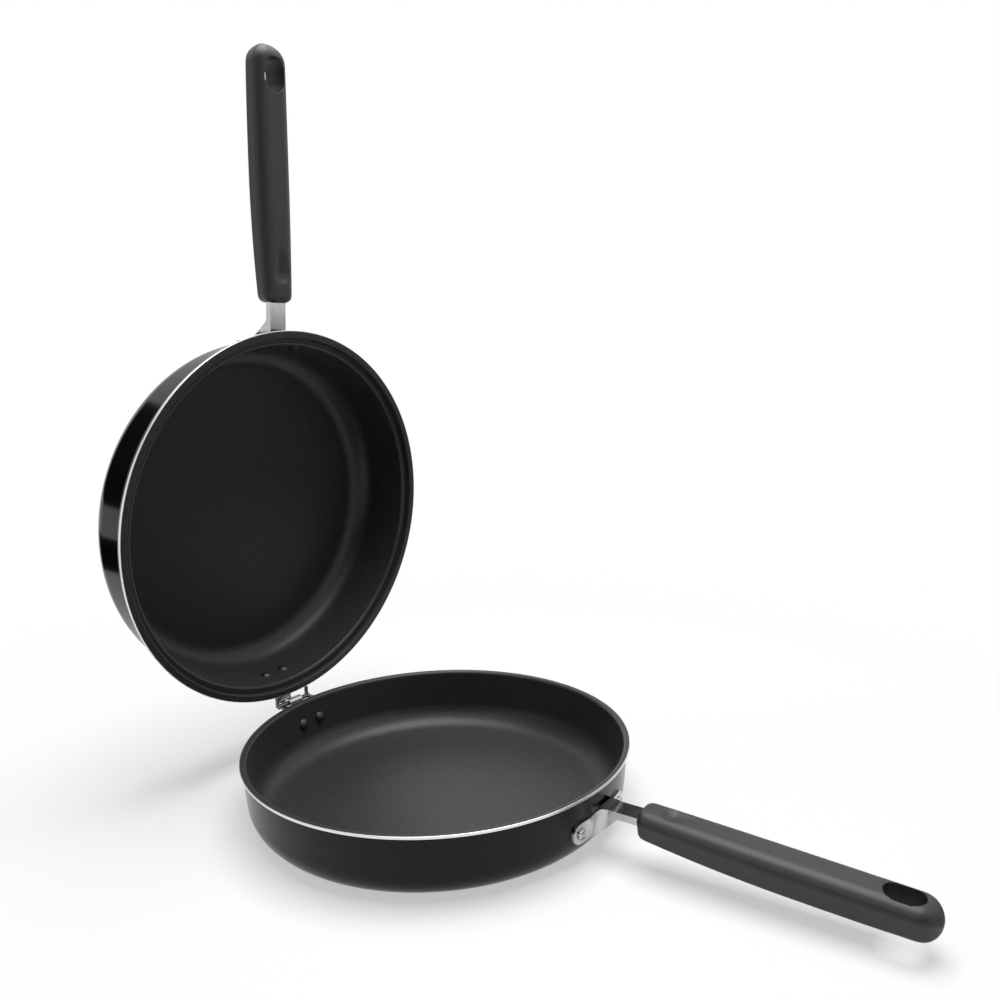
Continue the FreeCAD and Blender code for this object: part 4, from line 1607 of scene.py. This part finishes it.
@dataclass(frozen=True)
class Studio:
    """White paper, white surround, soft boxes and dark cards, in metres."""

    floor_size: float = 30.0
    floor_colour: str = "#FBFBFB"
    paper_radius: float = 0.25
    paper_end: float = 0.62
    paper_thinness: float = 0.5
    surround_colour: str = "#FFFFFF"
    ambient: float = 0.1
    lamps: tuple[Lamp, ...] = (
        Lamp("overhead_box", (0.05, 0.15, 1.8), (0.05, 0.0, 0.0), (1.4, 1.4), 36.0),
        Lamp("left_box", (-1.5, -0.9, 0.8), (0.0, 0.0, 0.1), (0.8, 1.2), 4.0, mirrored=False),
    )
    cards: tuple[DarkCard, ...] = (
        DarkCard("back_card", (-0.71, 1.59, 1.0), (0.135, 0.0, 0.03), (0.3, 0.9)),
        DarkCard("front_card", (0.9, -1.6, 0.7), (0.0, 0.0, 0.1), (3.2, 1.2)),
        DarkCard("side_card", (1.1, 0.95, -0.3), (0.0, 0.0, -0.3), (1.6, 0.9)),
        DarkCard("left_card", (-1.72, -0.52, -0.22), (-0.52, 0.43, -0.22), (1.05, 0.34)),
        DarkCard("high_left_card", (-1.72, -0.52, 0.83), (-0.52, 0.43, 0.83), (1.05, 1.16)),
    )

    def build_floor(self) -> None:
        """Lay a round of white paper under the pan, which fades out into the surround."""
        floor = primitive("studio_floor", bpy.ops.mesh.primitive_plane_add, size=self.floor_size)
        material = bpy.data.materials.new("studio_paper")
        tree = empty_tree(material)
        where = add_node(tree, "ShaderNodeTexCoord").outputs["Object"]
        distance = add_node(tree, "ShaderNodeVectorMath", {0: where}, operation="LENGTH")
        fade = add_node(
            tree,
            "ShaderNodeMapRange",
            {
                "Value": distance.outputs["Value"],
                "From Min": self.paper_radius,
                "From Max": self.paper_end,
                "To Min": self.paper_thinness,
            },
            interpolation_type="SMOOTHSTEP",
        )
        paper = add_node(tree, "ShaderNodeBsdfDiffuse", {"Color": linear(self.floor_colour)})
        nothing = add_node(tree, "ShaderNodeBsdfTransparent")
        mixed = add_node(
            tree,
            "ShaderNodeMixShader",
            {0: fade.outputs["Result"], 1: paper.outputs[0], 2: nothing.outputs[0]},
        )
        add_node(tree, "ShaderNodeOutputMaterial", {"Surface": mixed.outputs[0]})
        dress(floor, material)

    def build_surround(self) -> None:
        """Surround the scene with white for the camera and for gloss, and softer light else."""
        world = bpy.data.worlds.new("studio_surround")
        bpy.context.scene.world = world
        tree = empty_tree(world)
        path = add_node(tree, "ShaderNodeLightPath")
        seen = path.outputs["Is Camera Ray"]
        for kind in ("Is Glossy Ray", "Is Transmission Ray"):
            either = add_node(
                tree, "ShaderNodeMath", {0: seen, 1: path.outputs[kind]}, operation="MAXIMUM"
            )
            seen = either.outputs[0]
        white = linear(self.surround_colour)
        soft = add_node(tree, "ShaderNodeBackground", {"Color": white, "Strength": self.ambient})
        shown = add_node(tree, "ShaderNodeBackground", {"Color": white, "Strength": 1.0})
        mixed = add_node(
            tree, "ShaderNodeMixShader", {0: seen, 1: soft.outputs[0], 2: shown.outputs[0]}
        )
        add_node(tree, "ShaderNodeOutputWorld", {"Surface": mixed.outputs[0]})

    def build(self) -> None:
        """Set up floor, surround, lamps, cards and the view transform."""
        self.build_floor()
        self.build_surround()
        for fitting in (*self.lamps, *self.cards):
            fitting.build()
        bpy.context.scene.view_settings.view_transform = "Standard"


@dataclass(frozen=True)
class PhotoCamera:
    """The camera of the photo: angles in degrees, place in millimetres, the rest in pixels."""

    azimuth: float = 32.85
    elevation: float = 10.42
    roll: float = -0.56
    place: tuple[float, float, float] = (351.0, -419.4, 285.0)
    focal_pixels: float = 916.0
    centre_right: float = 43.5
    centre_down: float = 11.2
    image_pixels: float = 1000.0
    sensor_mm: float = 36.0

    def build(self) -> None:
        """Set the camera up and make it the scene's."""
        azimuth, elevation = math.radians(self.azimuth), math.radians(self.elevation)
        back = Vector((
            math.sin(azimuth) * math.cos(elevation),
            -math.cos(azimuth) * math.cos(elevation),
            math.sin(elevation),
        ))
        level = Vector((math.cos(azimuth), math.sin(azimuth), 0))
        upward = back.cross(level)
        turn = math.radians(self.roll)
        right = level * math.cos(turn) + upward * math.sin(turn)
        up = upward * math.cos(turn) - level * math.sin(turn)
        data = bpy.data.cameras.new("photo_camera")
        data.sensor_width = self.sensor_mm
        data.lens = self.focal_pixels / self.image_pixels * self.sensor_mm
        data.shift_x = -self.centre_right / self.image_pixels
        data.shift_y = self.centre_down / self.image_pixels
        camera = bpy.data.objects.new("photo_camera", data)
        bpy.context.scene.collection.objects.link(camera)
        turned = Matrix((right, up, back)).transposed().to_4x4()
        camera.matrix_world = Matrix.Translation(Vector(self.place) * MM) @ turned
        bpy.context.scene.camera = camera


def main() -> None:
    """Build the camera, the studio and the pan."""
    logging.basicConfig(level=logging.INFO, format="%(name)s: %(message)s")
    PhotoCamera().build()
    Studio().build()
    FlipPan(Hinge.of_record()).build()


if __name__ == "__main__":
    main()
